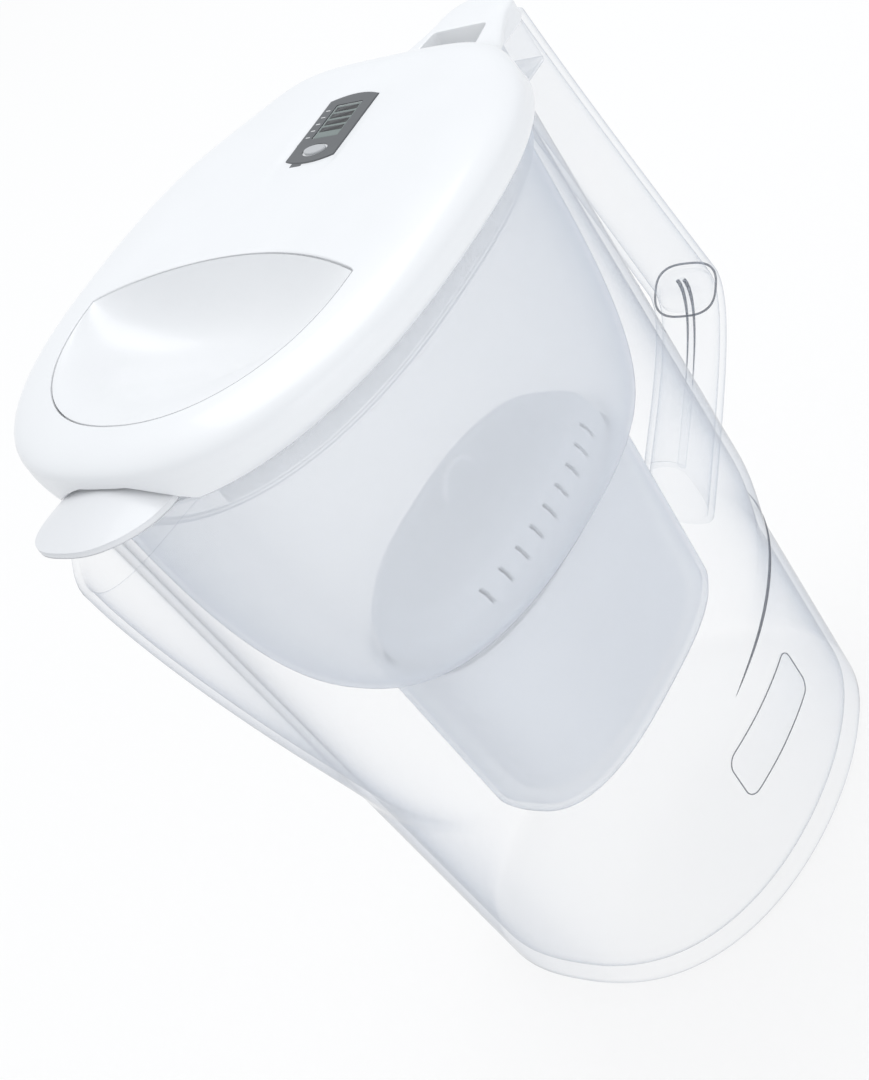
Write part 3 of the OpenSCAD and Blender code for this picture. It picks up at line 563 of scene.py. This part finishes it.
def funnel_shell():
    """Lip, collar, hopper and chamber as one double wall, with the outlet left open in the floor."""
    rim_a = (back_x(RIM_Z) - front_x(RIM_Z)) / 2 - 0.5
    rim_b = HALF_RIM - 0.5
    rim_mid = (front_x(RIM_Z) + back_x(RIM_Z)) / 2
    lip_low, lip_top = RIM_Z + 0.1, RIM_Z + 0.1 + LIP_T
    even = np.linspace(0, 1, 44)
    rise = np.concatenate([np.linspace(0, 0.04, 10), even[even > 0.045]])
    rings = [oval(0, OUTLET_R, OUTLET_R, CHAMBER_Z, 2)]
    rings += [chamber_ring(CHAMBER_Z + up, inset) for up, inset in ((0, 4), (0.5, 2.2), (1.4, 1.0), (4, 0))]
    rings += [chamber_ring(z, 0) for z in np.linspace(CHAMBER_Z + 8, HOPPER_Z - 0.1, 20)]
    rings += [hopper_ring(s, 0) for s in rise[1:]]
    rings += [oval(COLLAR_MID, COLLAR_A, COLLAR_B, z) for z in (COLLAR_Z + 1, lip_low)]
    rings += [oval(rim_mid, rim_a, rim_b, z) for z in (lip_low, lip_top)]
    rings += [oval(COLLAR_MID, COLLAR_A - FUNNEL_WALL, COLLAR_B - FUNNEL_WALL, z)
              for z in (lip_top, COLLAR_Z + 1)]
    rings += [hopper_ring(s, FUNNEL_WALL) for s in rise[::-1]]
    rings += [chamber_ring(z, FUNNEL_WALL) for z in np.linspace(HOPPER_Z - 3, CHAMBER_Z + 5, 20)]
    rings += [chamber_ring(CHAMBER_Z + 2.6, FUNNEL_WALL + 1.4),
              chamber_ring(CHAMBER_Z + CHAMBER_FLOOR, FUNNEL_WALL + 4),
              oval(0, OUTLET_R, OUTLET_R, CHAMBER_Z + CHAMBER_FLOOR, 2)]
    return ring_mesh(rings, looped=True)


piece("funnel_wall", [funnel_shell()], "funnel", FROST,
      ["funnel_hopper", "cartridge_chamber"], 40)


# ---- Lid ----
LID_A = (back_x(RIM_Z) - front_x(RIM_Z)) / 2 + 1
LID_B = HALF_RIM + 1
LID_MID = (front_x(RIM_Z) + back_x(RIM_Z)) / 2
CREST_A, CREST_B, CREST_MID = LID_A - 3, LID_B + 9, LID_MID - 2
CAP_TAIL = GRIP_X + GRIP_DEPTH / 2
CAP_ARC = 12.5
CAP_HALF = GRIP_HALF + 2
CAP_LOW, CAP_TOP = GRIP_TOP + 0.2, GRIP_TOP + 8.4
CAP_CROWN, CAP_WALL = 2.9, 2.4
JOIN_X = 56.0  # from here on the dome's outline runs into the cap's sides
WAIST_RUN = 17.0
NOTCH_HALF, NOTCH_H = 30.0, 9.5  # 0.4 higher than in the source, so that the rounded skins stay apart
NOTCH_R = (NOTCH_HALF**2 + NOTCH_H**2) / (2 * NOTCH_H)
PAD, PAD_FADE, PAD_RISE = 4.0, 3.0, 0.85  # level pad round the indicator


def lid_half(x):
    """Half width of the lid's outline: the crest oval and the cap's sides, joined smoothly."""
    dome = CREST_B * np.clip(1 - np.abs((x - CREST_MID) / CREST_A) ** POWER, 0, 1) ** (1 / POWER)
    d = np.clip(CAP_TAIL - CAP_ARC - x, 0, None) / WAIST_RUN
    cap = (CAP_HALF + 7.5 * d**1.25) * ease((x - JOIN_X) / 18)
    both = (dome + cap + np.sqrt((dome - cap) ** 2 + 36.0)) / 2
    return np.where(x > JOIN_X, mix(dome, both, ease((x - JOIN_X) / 10)), dome) - 0.3 * ease((x - 84) / 10)


def crest_height(x):
    """Height of the outline's crest line, which dips from the dome to the cap."""
    return mix(CREST_Z, CAP_TOP - CAP_CROWN, ease((x - 72) / 26))


def lid_top(x, y):
    """Height of the lid: crest line plus crown times (1 - r^4)^0.31, r from the middle to the outline."""
    share = ((np.abs(x - CREST_MID) / CREST_A) ** POWER + (np.abs(y) / CREST_B) ** POWER) ** (1 / POWER)
    tail = np.clip(x - (CAP_TAIL - CAP_ARC), 0, None) / CAP_ARC
    across = np.sqrt((np.abs(y) / np.maximum(lid_half(x), 1)) ** 2 + tail**2)
    r = np.clip(mix(share, across, ease((x - 50) / 30)), 0, 1)
    z = crest_height(x) + mix(DOME_H, CAP_CROWN, ease((x - 68) / 30)) * np.clip(1 - r**4, 0, 1) ** 0.31
    pad = np.minimum(MEMO_L / 2 - np.abs(x - MEMO_X), MEMO_W / 2 - np.abs(y)) + PAD
    return mix(z, np.minimum(z, PLATE_Z + PAD_RISE), ease(pad / PAD_FADE))


FLAP_FRONT, FLAP_REAR, FLAP_HALF, FLAP_T, SCOOP_H = 86.0, 19.0, 56.0, 2.2, 16.5
FLAP_MID, FLAP_SET = -FLAP_REAR - 12, 0.3
HOLE_POWER = 2.2


def flap_outline(grow, n=360):
    """Oval front and a flatter rear edge that meet in two pointed tips."""
    t = np.linspace(math.pi / 2, 3 * math.pi / 2, n)
    front = np.stack([FLAP_MID + (FLAP_FRONT + FLAP_MID + grow) * spow(np.cos(t), 2 / HOLE_POWER),
                      (FLAP_HALF + grow) * spow(np.sin(t), 2 / HOLE_POWER)], 1)
    y = np.linspace(-FLAP_HALF, FLAP_HALF, n // 3 + 2)[1:-1]
    rear = np.stack([mix(-FLAP_REAR, FLAP_MID, (y / FLAP_HALF) ** 2) + grow * 1.4, y], 1)
    return np.concatenate([front, rear])


def reach(points, middle, turn):
    """Distance from middle to a closed outline along each angle in turn."""
    d = points[:, :2] - middle
    a, r = np.arctan2(d[:, 1], d[:, 0]), np.hypot(d[:, 0], d[:, 1])
    order = np.argsort(a)
    a, r = a[order], r[order]
    a3 = np.concatenate([a - 2 * math.pi, a, a + 2 * math.pi])
    return np.interp(turn, a3, np.tile(r, 3))


SEAM_X = 80.0
LID_EYE = np.array([-48.0, 0.0])


def dome_outline():
    """The crest oval, widened towards the cap and cut straight at the seam under it."""
    t = np.linspace(0, 2 * math.pi, 2400, endpoint=False)
    x = CREST_MID + CREST_A * spow(np.cos(t), 2 / POWER)
    y = np.where(x > JOIN_X, np.sign(np.sin(t)) * lid_half(x), CREST_B * spow(np.sin(t), 2 / POWER))
    keep = x < SEAM_X
    chord = np.linspace(-1, 1, 121) * lid_half(np.array(SEAM_X))
    line = np.stack([np.full(121, SEAM_X), chord], 1)
    return np.concatenate([np.stack([x[keep], y[keep]], 1), line])


def lid_dome():
    """Rings round the middle of the scoop: from the flap's opening over the top to the crest, down the flare to
    the lower edge with the spout's arch, and back underneath."""
    tips = [math.atan2(s * (FLAP_HALF + 0.5), FLAP_MID - LID_EYE[0]) for s in (-1, 1)]
    corners = [s * math.atan2(float(lid_half(np.array(SEAM_X))), SEAM_X - LID_EYE[0]) for s in (-1, 1)]
    turn = np.sort(np.concatenate([np.linspace(-math.pi, math.pi, 380, endpoint=False), tips, corners]))
    ray = np.stack([np.cos(turn), np.sin(turn)], 1)
    hole = reach(flap_outline(0.5), LID_EYE, turn)
    outer = reach(dome_outline(), LID_EYE, turn)

    def at(r, z):
        return np.column_stack([LID_EYE + ray * r[:, None], np.broadcast_to(z, len(turn))])

    def top(r):
        p = LID_EYE + ray * r[:, None]
        return lid_top(p[:, 0], p[:, 1])

    edge = np.array([0.0, 0.25, 0.6, 1.0, 1.6]) / 60
    s = np.concatenate([edge, 1 - (1 - np.linspace(0.03, 1, 60)) ** 3.4])
    rings = [at(mix(hole, outer, v), top(mix(hole, outer, v)) - 0.35 * max(0, 1 - v / edge[3]) ** 2) for v in s]
    crest_z = top(outer)
    crest_xy = LID_EYE + ray * outer[:, None]
    seam = crest_xy[:, 0] > SEAM_X - 0.01

    def flare(h, inset):
        """Outline at share h of the height from the lower edge to the crest."""
        g = 1 - (1 - h) ** 2.3
        half_a, half_b = mix(LID_A, CREST_A, h) - inset, mix(LID_B, CREST_B, g) - inset
        return reach(oval(mix(LID_MID, CREST_MID, h), half_a, half_b, 0, n=2400), LID_EYE, turn)

    low_xy = LID_EYE + ray * flare(0.0, 0)[:, None]
    arch = LID_Z + NOTCH_H - NOTCH_R + np.sqrt(np.clip(NOTCH_R**2 - low_xy[:, 1] ** 2, 0, None))
    at_spout = (low_xy[:, 0] < -70) & (np.abs(low_xy[:, 1]) < NOTCH_HALF)
    low_z = np.where(at_spout, np.maximum(arch, LID_Z), LID_Z)

    def side(q, inset):
        z = mix(crest_z, low_z, q)
        h = np.clip((z - LID_Z) / (CREST_Z - LID_Z), 0, 1)
        table = np.stack([flare(v, inset) for v in np.linspace(0, 1, 24)])
        k = np.clip(h * 23, 0, 22.999)
        i = k.astype(int)
        col = np.arange(len(turn))
        r = mix(table[i, col], table[i + 1, col], k - i)
        r = np.where(seam, mix(outer - inset, r, q**2), mix(outer - inset, r, ease(q * 6)))
        return at(r, z)

    steps = np.linspace(0, 1, 18)
    rings += [side(q, 0) for q in steps[1:]]
    rings += [side(q, LID_WALL) for q in steps[::-1]]
    under = s[::-1][1:]
    rings += [at(mix(hole, outer - LID_WALL, v), top(mix(hole, outer, v)) - LID_WALL * (1 - v**12))
              for v in under]
    return ring_mesh(rings, looped=True)


WELL_EYE = np.array([97.0, 0.0])
WELL_FRONT, WELL_REAR = 88.0, CAP_TAIL - 20
WELL_LOW, WELL_SHELF, WELL_SHELF_X = CAP_TOP - 14, RIM_Z + 3.2, 90.0
WELL_WIDE, WELL_NARROW, WELL_CORNER, WELL_WALL = 15.0, 11.6, 1.6, 1.2


def cap_outline(low=False):
    """Seam, sides and round tail of the handle cap; the lower edge is narrower at its waist."""
    x = np.linspace(SEAM_X, CAP_TAIL - CAP_ARC, 300)
    y = lid_half(x)
    if low:
        y = np.minimum(y, CAP_HALF + 0.2 + 20 * (np.clip(WELL_EYE[0] - x, 0, None) / WAIST_RUN) ** 2)
    a = np.linspace(-math.pi / 2, math.pi / 2, 200)[1:-1]
    tail = np.stack([CAP_TAIL - CAP_ARC + CAP_ARC * np.cos(a), y[-1] * np.sin(a)], 1)
    chord = np.stack([np.full(99, SEAM_X), np.linspace(1, -1, 101)[1:-1] * y[0]], 1)
    return np.concatenate([np.stack([x, -y], 1), tail, np.stack([x, y], 1)[::-1], chord])


def well_outline():
    """Rounded trapezium, wider towards the dome."""
    base = np.array([[WELL_FRONT, -WELL_WIDE], [WELL_REAR, -WELL_NARROW],
                     [WELL_REAR, WELL_NARROW], [WELL_FRONT, WELL_WIDE]])
    pts = []
    for i in range(4):
        p, before, after = base[i], base[i - 1], base[(i + 1) % 4]
        u = WELL_CORNER * (before - p) / np.linalg.norm(before - p)
        v = WELL_CORNER * (after - p) / np.linalg.norm(after - p)
        t = np.linspace(0, 1, 8)[:, None]
        pts.append((1 - t) ** 2 * (p + u) + 2 * t * (1 - t) * p + t**2 * (p + v))
        t = np.linspace(0, 1, 40)[1:-1, None]
        pts.append(mix(p + v, after - v, t))
    return np.concatenate(pts)


def lid_cap():
    """Rings round the thumb well: its floor and wall, the top, the side wall and lower edge, then back
    underneath."""
    turn = np.linspace(-math.pi, math.pi, 420, endpoint=False)
    seam_end = (SEAM_X, float(lid_half(np.array(SEAM_X))))
    corners = [math.atan2(s * y, x - WELL_EYE[0]) for s in (-1, 1)
               for x, y in ((WELL_FRONT, WELL_WIDE), (WELL_REAR, WELL_NARROW), seam_end)]
    turn = np.sort(np.concatenate([turn, corners]))
    ray = np.stack([np.cos(turn), np.sin(turn)], 1)
    well = reach(well_outline(), WELL_EYE, turn)
    top_r = reach(cap_outline(), WELL_EYE, turn)
    low_r = reach(cap_outline(True), WELL_EYE, turn)

    def xy(r):
        return WELL_EYE + ray * r[:, None]

    def at(r, z):
        return np.column_stack([xy(r), np.broadcast_to(z, len(turn))])

    def top(r):
        p = xy(r)
        return lid_top(p[:, 0], p[:, 1])

    def floor_z(r):
        """The well is deep behind the jug's rim and steps up over it in front."""
        return mix(WELL_SHELF, WELL_LOW, ease((xy(r)[:, 0] - WELL_SHELF_X) / 2.0))

    def side(q):
        """Reach of the side wall at share q of the way from the top's edge to the lower edge."""
        return np.where(seam, top_r, mix(top_r, low_r, 1 - (1 - q) ** 1.6))

    edge_z = top(well)
    rings = [at(well * v, floor_z(well * v)) for v in (0.1, 0.3, 0.5, 0.7, 0.85, 0.95, 1.0)]
    rings += [at(well, mix(floor_z(well), edge_z - 0.5, v)) for v in (0.15, 0.4, 0.7, 1.0)]
    rings += [at(well + 0.12, edge_z - 0.18), at(well + 0.5, edge_z - 0.02)]
    s = 1 - (1 - np.linspace(0.02, 1, 44)) ** 3.0
    rings += [at(mix(well + 0.5, top_r, v), top(mix(well + 0.5, top_r, v))) for v in s]
    end_z = top(top_r)
    top_x = xy(top_r)[:, 0]
    low_z = mix(end_z - 2.5, CAP_LOW, ease((top_x - 84) / 8))
    seam = top_x < SEAM_X + 0.01
    rings += [at(side(q), mix(end_z, low_z, q)) for q in np.linspace(0, 1, 12)[1:]]
    thin = np.where(seam, 0.0, LID_WALL)
    rings += [at(side(q) - thin, np.minimum(mix(end_z, low_z, q), end_z - CAP_WALL * (1 - q) / 0.7))
              for q in np.linspace(1, 0.3, 8)]
    under = s[::-1][2:]
    rings += [at(mix(well + 1.4, top_r - thin, v), top(mix(well + 0.5, top_r, v)) - CAP_WALL) for v in under]
    rings += [at(well + WELL_WALL, floor_z(well) - WELL_WALL)]
    rings += [at(well * v, floor_z(well * v) - WELL_WALL) for v in (0.9, 0.6, 0.3, 0.1)]
    return ring_mesh(rings)


piece("lid_shell_white", [lid_dome(), lid_cap()], "lid", LID_WHITE, ["lid_shell"], 38)


# ---- Refill flap with its scoop ----
def scoop_depth(x, y):
    """Falls gently from the front as u^2 (1 - u) and climbs steeply to the rear edge."""
    side = np.clip(np.abs(y) / FLAP_HALF, 0, 1)
    front = FLAP_MID - (FLAP_FRONT + FLAP_MID) * (1 - side**HOLE_POWER) ** (1 / HOLE_POWER)
    rear = mix(-FLAP_REAR, FLAP_MID, side**2)
    u = np.clip((x - front) / (rear - front + 0.01), 0, 1)
    return SCOOP_H * 6.75 * u * u * (1 - u) * (1 - side**2.5)


def flap_panel():
    """Concave panel: rings from its middle to the outline, on top and underneath."""
    line = flap_outline(0.0, 300)
    centre = np.array([FLAP_MID - 17, 0.0])
    levels = 1 - (1 - np.linspace(0.02, 1, 70)) ** 1.7

    def ring(v, drop):
        x, y = (centre + (line - centre) * v).T
        return np.stack([x, y, lid_top(x, y) - FLAP_SET - scoop_depth(x, y) - drop], 1)

    rings = [ring(v, 0) for v in levels[:-1]] + [ring(0.998, 0.05), ring(1.0, 0.35), ring(1.0, FLAP_T)]
    return ring_mesh(rings + [ring(v, FLAP_T) for v in levels[::-1][1:]])


def disc_bar(x, z, r, y0, y1, n=48):
    """Round bar along Y."""
    t = angles(n)
    rows = [(r - 0.25, y0), (r, y0 + 0.25), (r, y1 - 0.25), (r - 0.25, y1)]
    return ring_mesh([np.stack([x + q * np.cos(t), np.full(n, y), z + q * np.sin(t)], 1) for q, y in rows])


def lug(x, z, r, y0, y1, height):
    """Hinge lug: a half-round foot with straight sides up to the panel."""
    t = np.linspace(math.pi, 2 * math.pi, 25)
    foot = np.stack([x + r * np.cos(t), z + r * np.sin(t)], 1)
    line = np.concatenate([foot, [[x + r, z + height], [x - r, z + height]]])
    return ring_mesh([np.stack([line[:, 0], np.full(len(line), y), line[:, 1]], 1) for y in (y0, y1)])


LUG_Y, LUG_HALF, LUG_R, LUG_H = 21.0, 2.5, 3.5, 7.0
lugs = [lug(HINGE_X, HINGE_Z, LUG_R, y - LUG_HALF, y + LUG_HALF, LUG_H) for y in (-LUG_Y, LUG_Y)]
piece("refill_flap_scoop", [flap_panel()] + lugs, "refill_flap", FLAP_WHITE,
      ["refill_flap"], 38)


# ---- Spout flap ----
TONGUE_ROOT, TONGUE_LONG, TONGUE_HALF, TONGUE_T = 5.0, 26.0, 24.0, 2.0
TONGUE_CROWN, TONGUE_TILT = 4.8, math.radians(4)


def tongue():
    """Rounded tongue with a crown across it, turned up about its pin as it stands open."""
    t = np.linspace(math.pi / 2, 3 * math.pi / 2, 150)
    front = np.stack([TONGUE_LONG * spow(np.cos(t), 0.9) - TONGUE_ROOT, TONGUE_HALF * spow(np.sin(t), 0.8)], 1)
    root = np.stack([np.full(40, -TONGUE_ROOT), np.linspace(-TONGUE_HALF, TONGUE_HALF, 42)[1:-1]], 1)
    line = np.concatenate([front, root])
    centre = np.array([-14.0, 0.0])

    def ring(v, drop):
        x, y = (centre + (line - centre) * v).T
        tip = x / (TONGUE_LONG + TONGUE_ROOT)
        z = TONGUE_CROWN * (1 - (y / TONGUE_HALF) ** 2) * (1 - 0.5 * tip**2) - drop
        return np.stack([SPOUT_PIN_X + x * math.cos(TONGUE_TILT) + z * math.sin(TONGUE_TILT), y,
                         SPOUT_PIN_Z - x * math.sin(TONGUE_TILT) + z * math.cos(TONGUE_TILT)], 1)

    levels = 1 - (1 - np.linspace(0.03, 1, 36)) ** 1.6
    rings = [ring(v, 0) for v in levels[:-1]]
    rings += [ring(0.985, 0.08), ring(1.0, 0.6), ring(1.0, 1.5), ring(0.985, TONGUE_T)]
    return ring_mesh(rings + [ring(v, TONGUE_T) for v in levels[::-1][1:]])


barrel = disc_bar(SPOUT_PIN_X, SPOUT_PIN_Z, 2.6, -18, 18)
web = rounded_bar(SPOUT_PIN_X - 6.5, SPOUT_PIN_X, -15, 15, SPOUT_PIN_Z - 0.8, SPOUT_PIN_Z + 1.2)
piece("spout_flap_tongue", [tongue(), barrel, web], "spout_flap", TONGUE_WHITE,
      ["spout_flap"], 38)


# ---- Change indicator ----
BEVEL = 0.3


def holed_plate(outer, inner, centre, z0, z1, seam_x):
    """Flat plate between an outer and an inner line round a centre; its edge is bevelled except at the seam."""
    corners = np.arctan2(outer[:, 1] - centre[1], outer[:, 0] - centre[0])
    turn = np.sort(np.concatenate([np.linspace(-math.pi, math.pi, 240, endpoint=False), corners]))
    ray = np.stack([np.cos(turn), np.sin(turn)], 1)
    out, hole = reach(outer, centre, turn), reach(inner, centre, turn)
    bevel = np.where(np.abs(centre[0] + ray[:, 0] * out - seam_x) < 0.05, 0.0, BEVEL)
    steps = ((out, z0), (out, z1 - BEVEL), (out - bevel, z1), (hole, z1), (hole, z0))
    return ring_mesh([np.column_stack([centre + ray * r[:, None], np.full(len(turn), z)]) for r, z in steps],
                     looped=True)


SEAM, BOW = 32.6, 2.2  # the face is two plates that meet at the seam; its ends are bowed
WINDOW = (34.8, 51.2, -5.6, 5.9)
WINDOW_EYE = np.array([43.0, 0.15])
BUTTON = np.array([29.0, 0.2])
TOP_Z = PLATE_Z + 1.2
BARS = (48.7, 45.5, 42.3, 39.1)
TICKS = BARS + (35.9,)
across = np.linspace(-MEMO_W / 2, MEMO_W / 2, 31)
bow = MEMO_L / 2 - BOW * (across / (MEMO_W / 2)) ** 2
seam_line = np.array([[SEAM, MEMO_W / 2], [SEAM, -MEMO_W / 2]])
rear_part = np.concatenate([np.stack([MEMO_X + bow, across], 1), seam_line])
front_part = np.concatenate([seam_line[::-1], np.stack([MEMO_X - bow, across], 1)[::-1]])
button_hole = oval(BUTTON[0], 2.9, 5.2, 0, 2, 160)[:, :2] + [0, BUTTON[1]]
tab = rounded_bar(MEMO_X - 17.7, MEMO_X - 15.4, 1.8, 6.8, PLATE_Z + 0.2, PLATE_Z + 1.0, 0.4)
piece("indicator_face",
      [holed_plate(resample(rear_part, 300), round_rect(*WINDOW, 0.6), WINDOW_EYE, PLATE_Z, TOP_Z, SEAM),
       holed_plate(resample(front_part, 300), button_hole, BUTTON, PLATE_Z, TOP_Z, SEAM), tab],
      "lid", FACE_GREY, ["memo_faceplate"], 30)
display = rounded_bar(WINDOW[0] + 0.1, WINDOW[1] - 0.1, WINDOW[2] + 0.1, WINDOW[3] - 0.1,
                      PLATE_Z - 1.5, TOP_Z - 0.14, 0.6)
piece("indicator_window", [display], "lid", LCD, ["memo_display"], 30)
bars = [rounded_bar(x - 1.05, x + 1.05, -4.9, 4.7, TOP_Z - 0.2, TOP_Z - 0.06, 0.06, 2) for x in BARS]
piece("indicator_bars", bars, "lid", INK, (), 30)
ticks = [rounded_bar(x - 0.22, x + 0.22, 7.1, 8.9, TOP_Z - 0.06, TOP_Z + 0.05, 0.04, 2) for x in TICKS]
piece("indicator_ticks", ticks, "lid", PRINT, (), 30)
BUTTON_RINGS = ((2.0, 4.3, PLATE_Z - 0.3), (2.2, 4.6, TOP_Z + 0.1),
                (1.95, 4.3, TOP_Z + 0.38), (1.3, 3.4, TOP_Z + 0.45))
button = ring_mesh([oval(BUTTON[0], a, b, z, 2, 96) + [0, BUTTON[1], 0] for a, b, z in BUTTON_RINGS])
piece("indicator_button", [button], "memo_button", PALE_GREY, ["memo_button"], 30)

# ---- Camera: the photograph's viewpoint, rolled so that the pitcher leans ----
AZ, EL, ROLL = (math.radians(v) for v in (-35.864, 32.363, 36.71))
TARGET, DISTANCE = np.array([-17.5, 6.308, 152.595]), 714.161
FOCAL_PX, PHOTO_PX, SENSOR = 2219.343, 1080, 36.0
back = np.array([math.sin(AZ) * math.cos(EL), -math.cos(AZ) * math.cos(EL), math.sin(EL)])
right0 = np.array([math.cos(AZ), math.sin(AZ), 0.0])
up0 = np.cross(back, right0)
right = math.cos(ROLL) * right0 - math.sin(ROLL) * up0
up = math.sin(ROLL) * right0 + math.cos(ROLL) * up0
eye = (TARGET + DISTANCE * back) * MM
camera = bpy.data.cameras.new("photo_camera")
camera.sensor_fit = "VERTICAL"
camera.sensor_height = SENSOR
camera.lens = FOCAL_PX / PHOTO_PX * SENSOR
camera.clip_start, camera.clip_end = 0.01, 100
cam = bpy.data.objects.new("photo_camera", camera)
cam.matrix_world = Matrix([[right[i], up[i], back[i], eye[i]] for i in range(3)] + [[0, 0, 0, 1]])
scene.collection.objects.link(cam)
scene.camera = cam


# ---- Floor, light and background ----
def white_where_seen(n, shader, share):
    """Plain white for camera, glossy and transmission rays by the given share, the shader for the rest."""
    path = n.add("ShaderNodeLightPath")
    any_ray = n.add("ShaderNodeMath", operation="MAXIMUM")
    n.link(path.outputs["Is Camera Ray"], any_ray.inputs[0])
    n.link(path.outputs["Is Glossy Ray"], any_ray.inputs[1])
    more = n.add("ShaderNodeMath", operation="MAXIMUM")
    n.link(any_ray.outputs[0], more.inputs[0])
    n.link(path.outputs["Is Transmission Ray"], more.inputs[1])
    part = n.add("ShaderNodeMath", operation="MULTIPLY")
    n.link(more.outputs[0], part.inputs[0])
    part.inputs[1].default_value = share
    glow = n.add("ShaderNodeEmission", Color=(1, 1, 1, 1), Strength=1.0)
    join = n.add("ShaderNodeMixShader")
    n.link(part.outputs[0], join.inputs[0])
    n.link(shader, join.inputs[1])
    n.link(glow.outputs[0], join.inputs[2])
    return join.outputs[0]


FLOOR_HALF, FLOOR_Z, FLOOR_SHARE = 14, -0.0004, 0.8  # metres, metres and share of plain white
floor_nodes = Nodes("pale_floor")
matt = floor_nodes.add("ShaderNodeBsdfDiffuse", Color=(0.9, 0.9, 0.9, 1))
floor_nodes.link(white_where_seen(floor_nodes, matt.outputs[0], FLOOR_SHARE), floor_nodes.out.inputs["Surface"])
floor_mesh = bpy.data.meshes.new("floor")
floor_corners = [(x * FLOOR_HALF, y * FLOOR_HALF, FLOOR_Z) for x, y in ((-1, -1), (1, -1), (1, 1), (-1, 1))]
floor_mesh.from_pydata(floor_corners, [], [(0, 1, 2, 3)])
floor_mesh.materials.append(floor_nodes.mat)
floor = bpy.data.objects.new("floor", floor_mesh)
scene.collection.objects.link(floor)

world = bpy.data.worlds.new("studio")
scene.world = world
world.use_nodes = True
tree = world.node_tree
tree.nodes.clear()
w_out = tree.nodes.new("ShaderNodeOutputWorld")
w_fill = tree.nodes.new("ShaderNodeBackground")
w_fill.inputs["Color"].default_value = (0.93, 0.96, 1.0, 1)
w_fill.inputs["Strength"].default_value = 0.8
w_seen = tree.nodes.new("ShaderNodeBackground")
w_seen.inputs["Color"].default_value = (1, 1, 1, 1)
w_path = tree.nodes.new("ShaderNodeLightPath")
w_join = tree.nodes.new("ShaderNodeMixShader")
tree.links.new(w_path.outputs["Is Camera Ray"], w_join.inputs[0])
tree.links.new(w_fill.outputs[0], w_join.inputs[1])
tree.links.new(w_seen.outputs[0], w_join.inputs[2])
tree.links.new(w_join.outputs[0], w_out.inputs["Surface"])


def lamp(name, place, aim, size, watts, colour=(1, 1, 1)):
    """Square area lamp at place, facing aim."""
    data = bpy.data.lights.new(name, "AREA")
    data.size, data.energy, data.color = size, watts, colour
    obj = bpy.data.objects.new(name, data)
    d = np.array(place) - np.array(aim)
    z = d / np.linalg.norm(d)
    x = np.cross([0, 0, 1.0], z)
    x = x / np.linalg.norm(x)
    y = np.cross(z, x)
    obj.matrix_world = Matrix([[x[i], y[i], z[i], place[i]] for i in range(3)] + [[0, 0, 0, 1]])
    scene.collection.objects.link(obj)


lamp("key_softbox", (0.5, 0.5, 1.75), (0, 0, 0.2), 1.1, 11.0)
lamp("fill_softbox", (-0.5, -1.4, 0.35), (0, 0, 0.12), 1.2, 5.5, (0.97, 0.98, 1.0))

scene.view_settings.view_transform = "Standard"
scene.cycles.transparent_max_bounces = 48
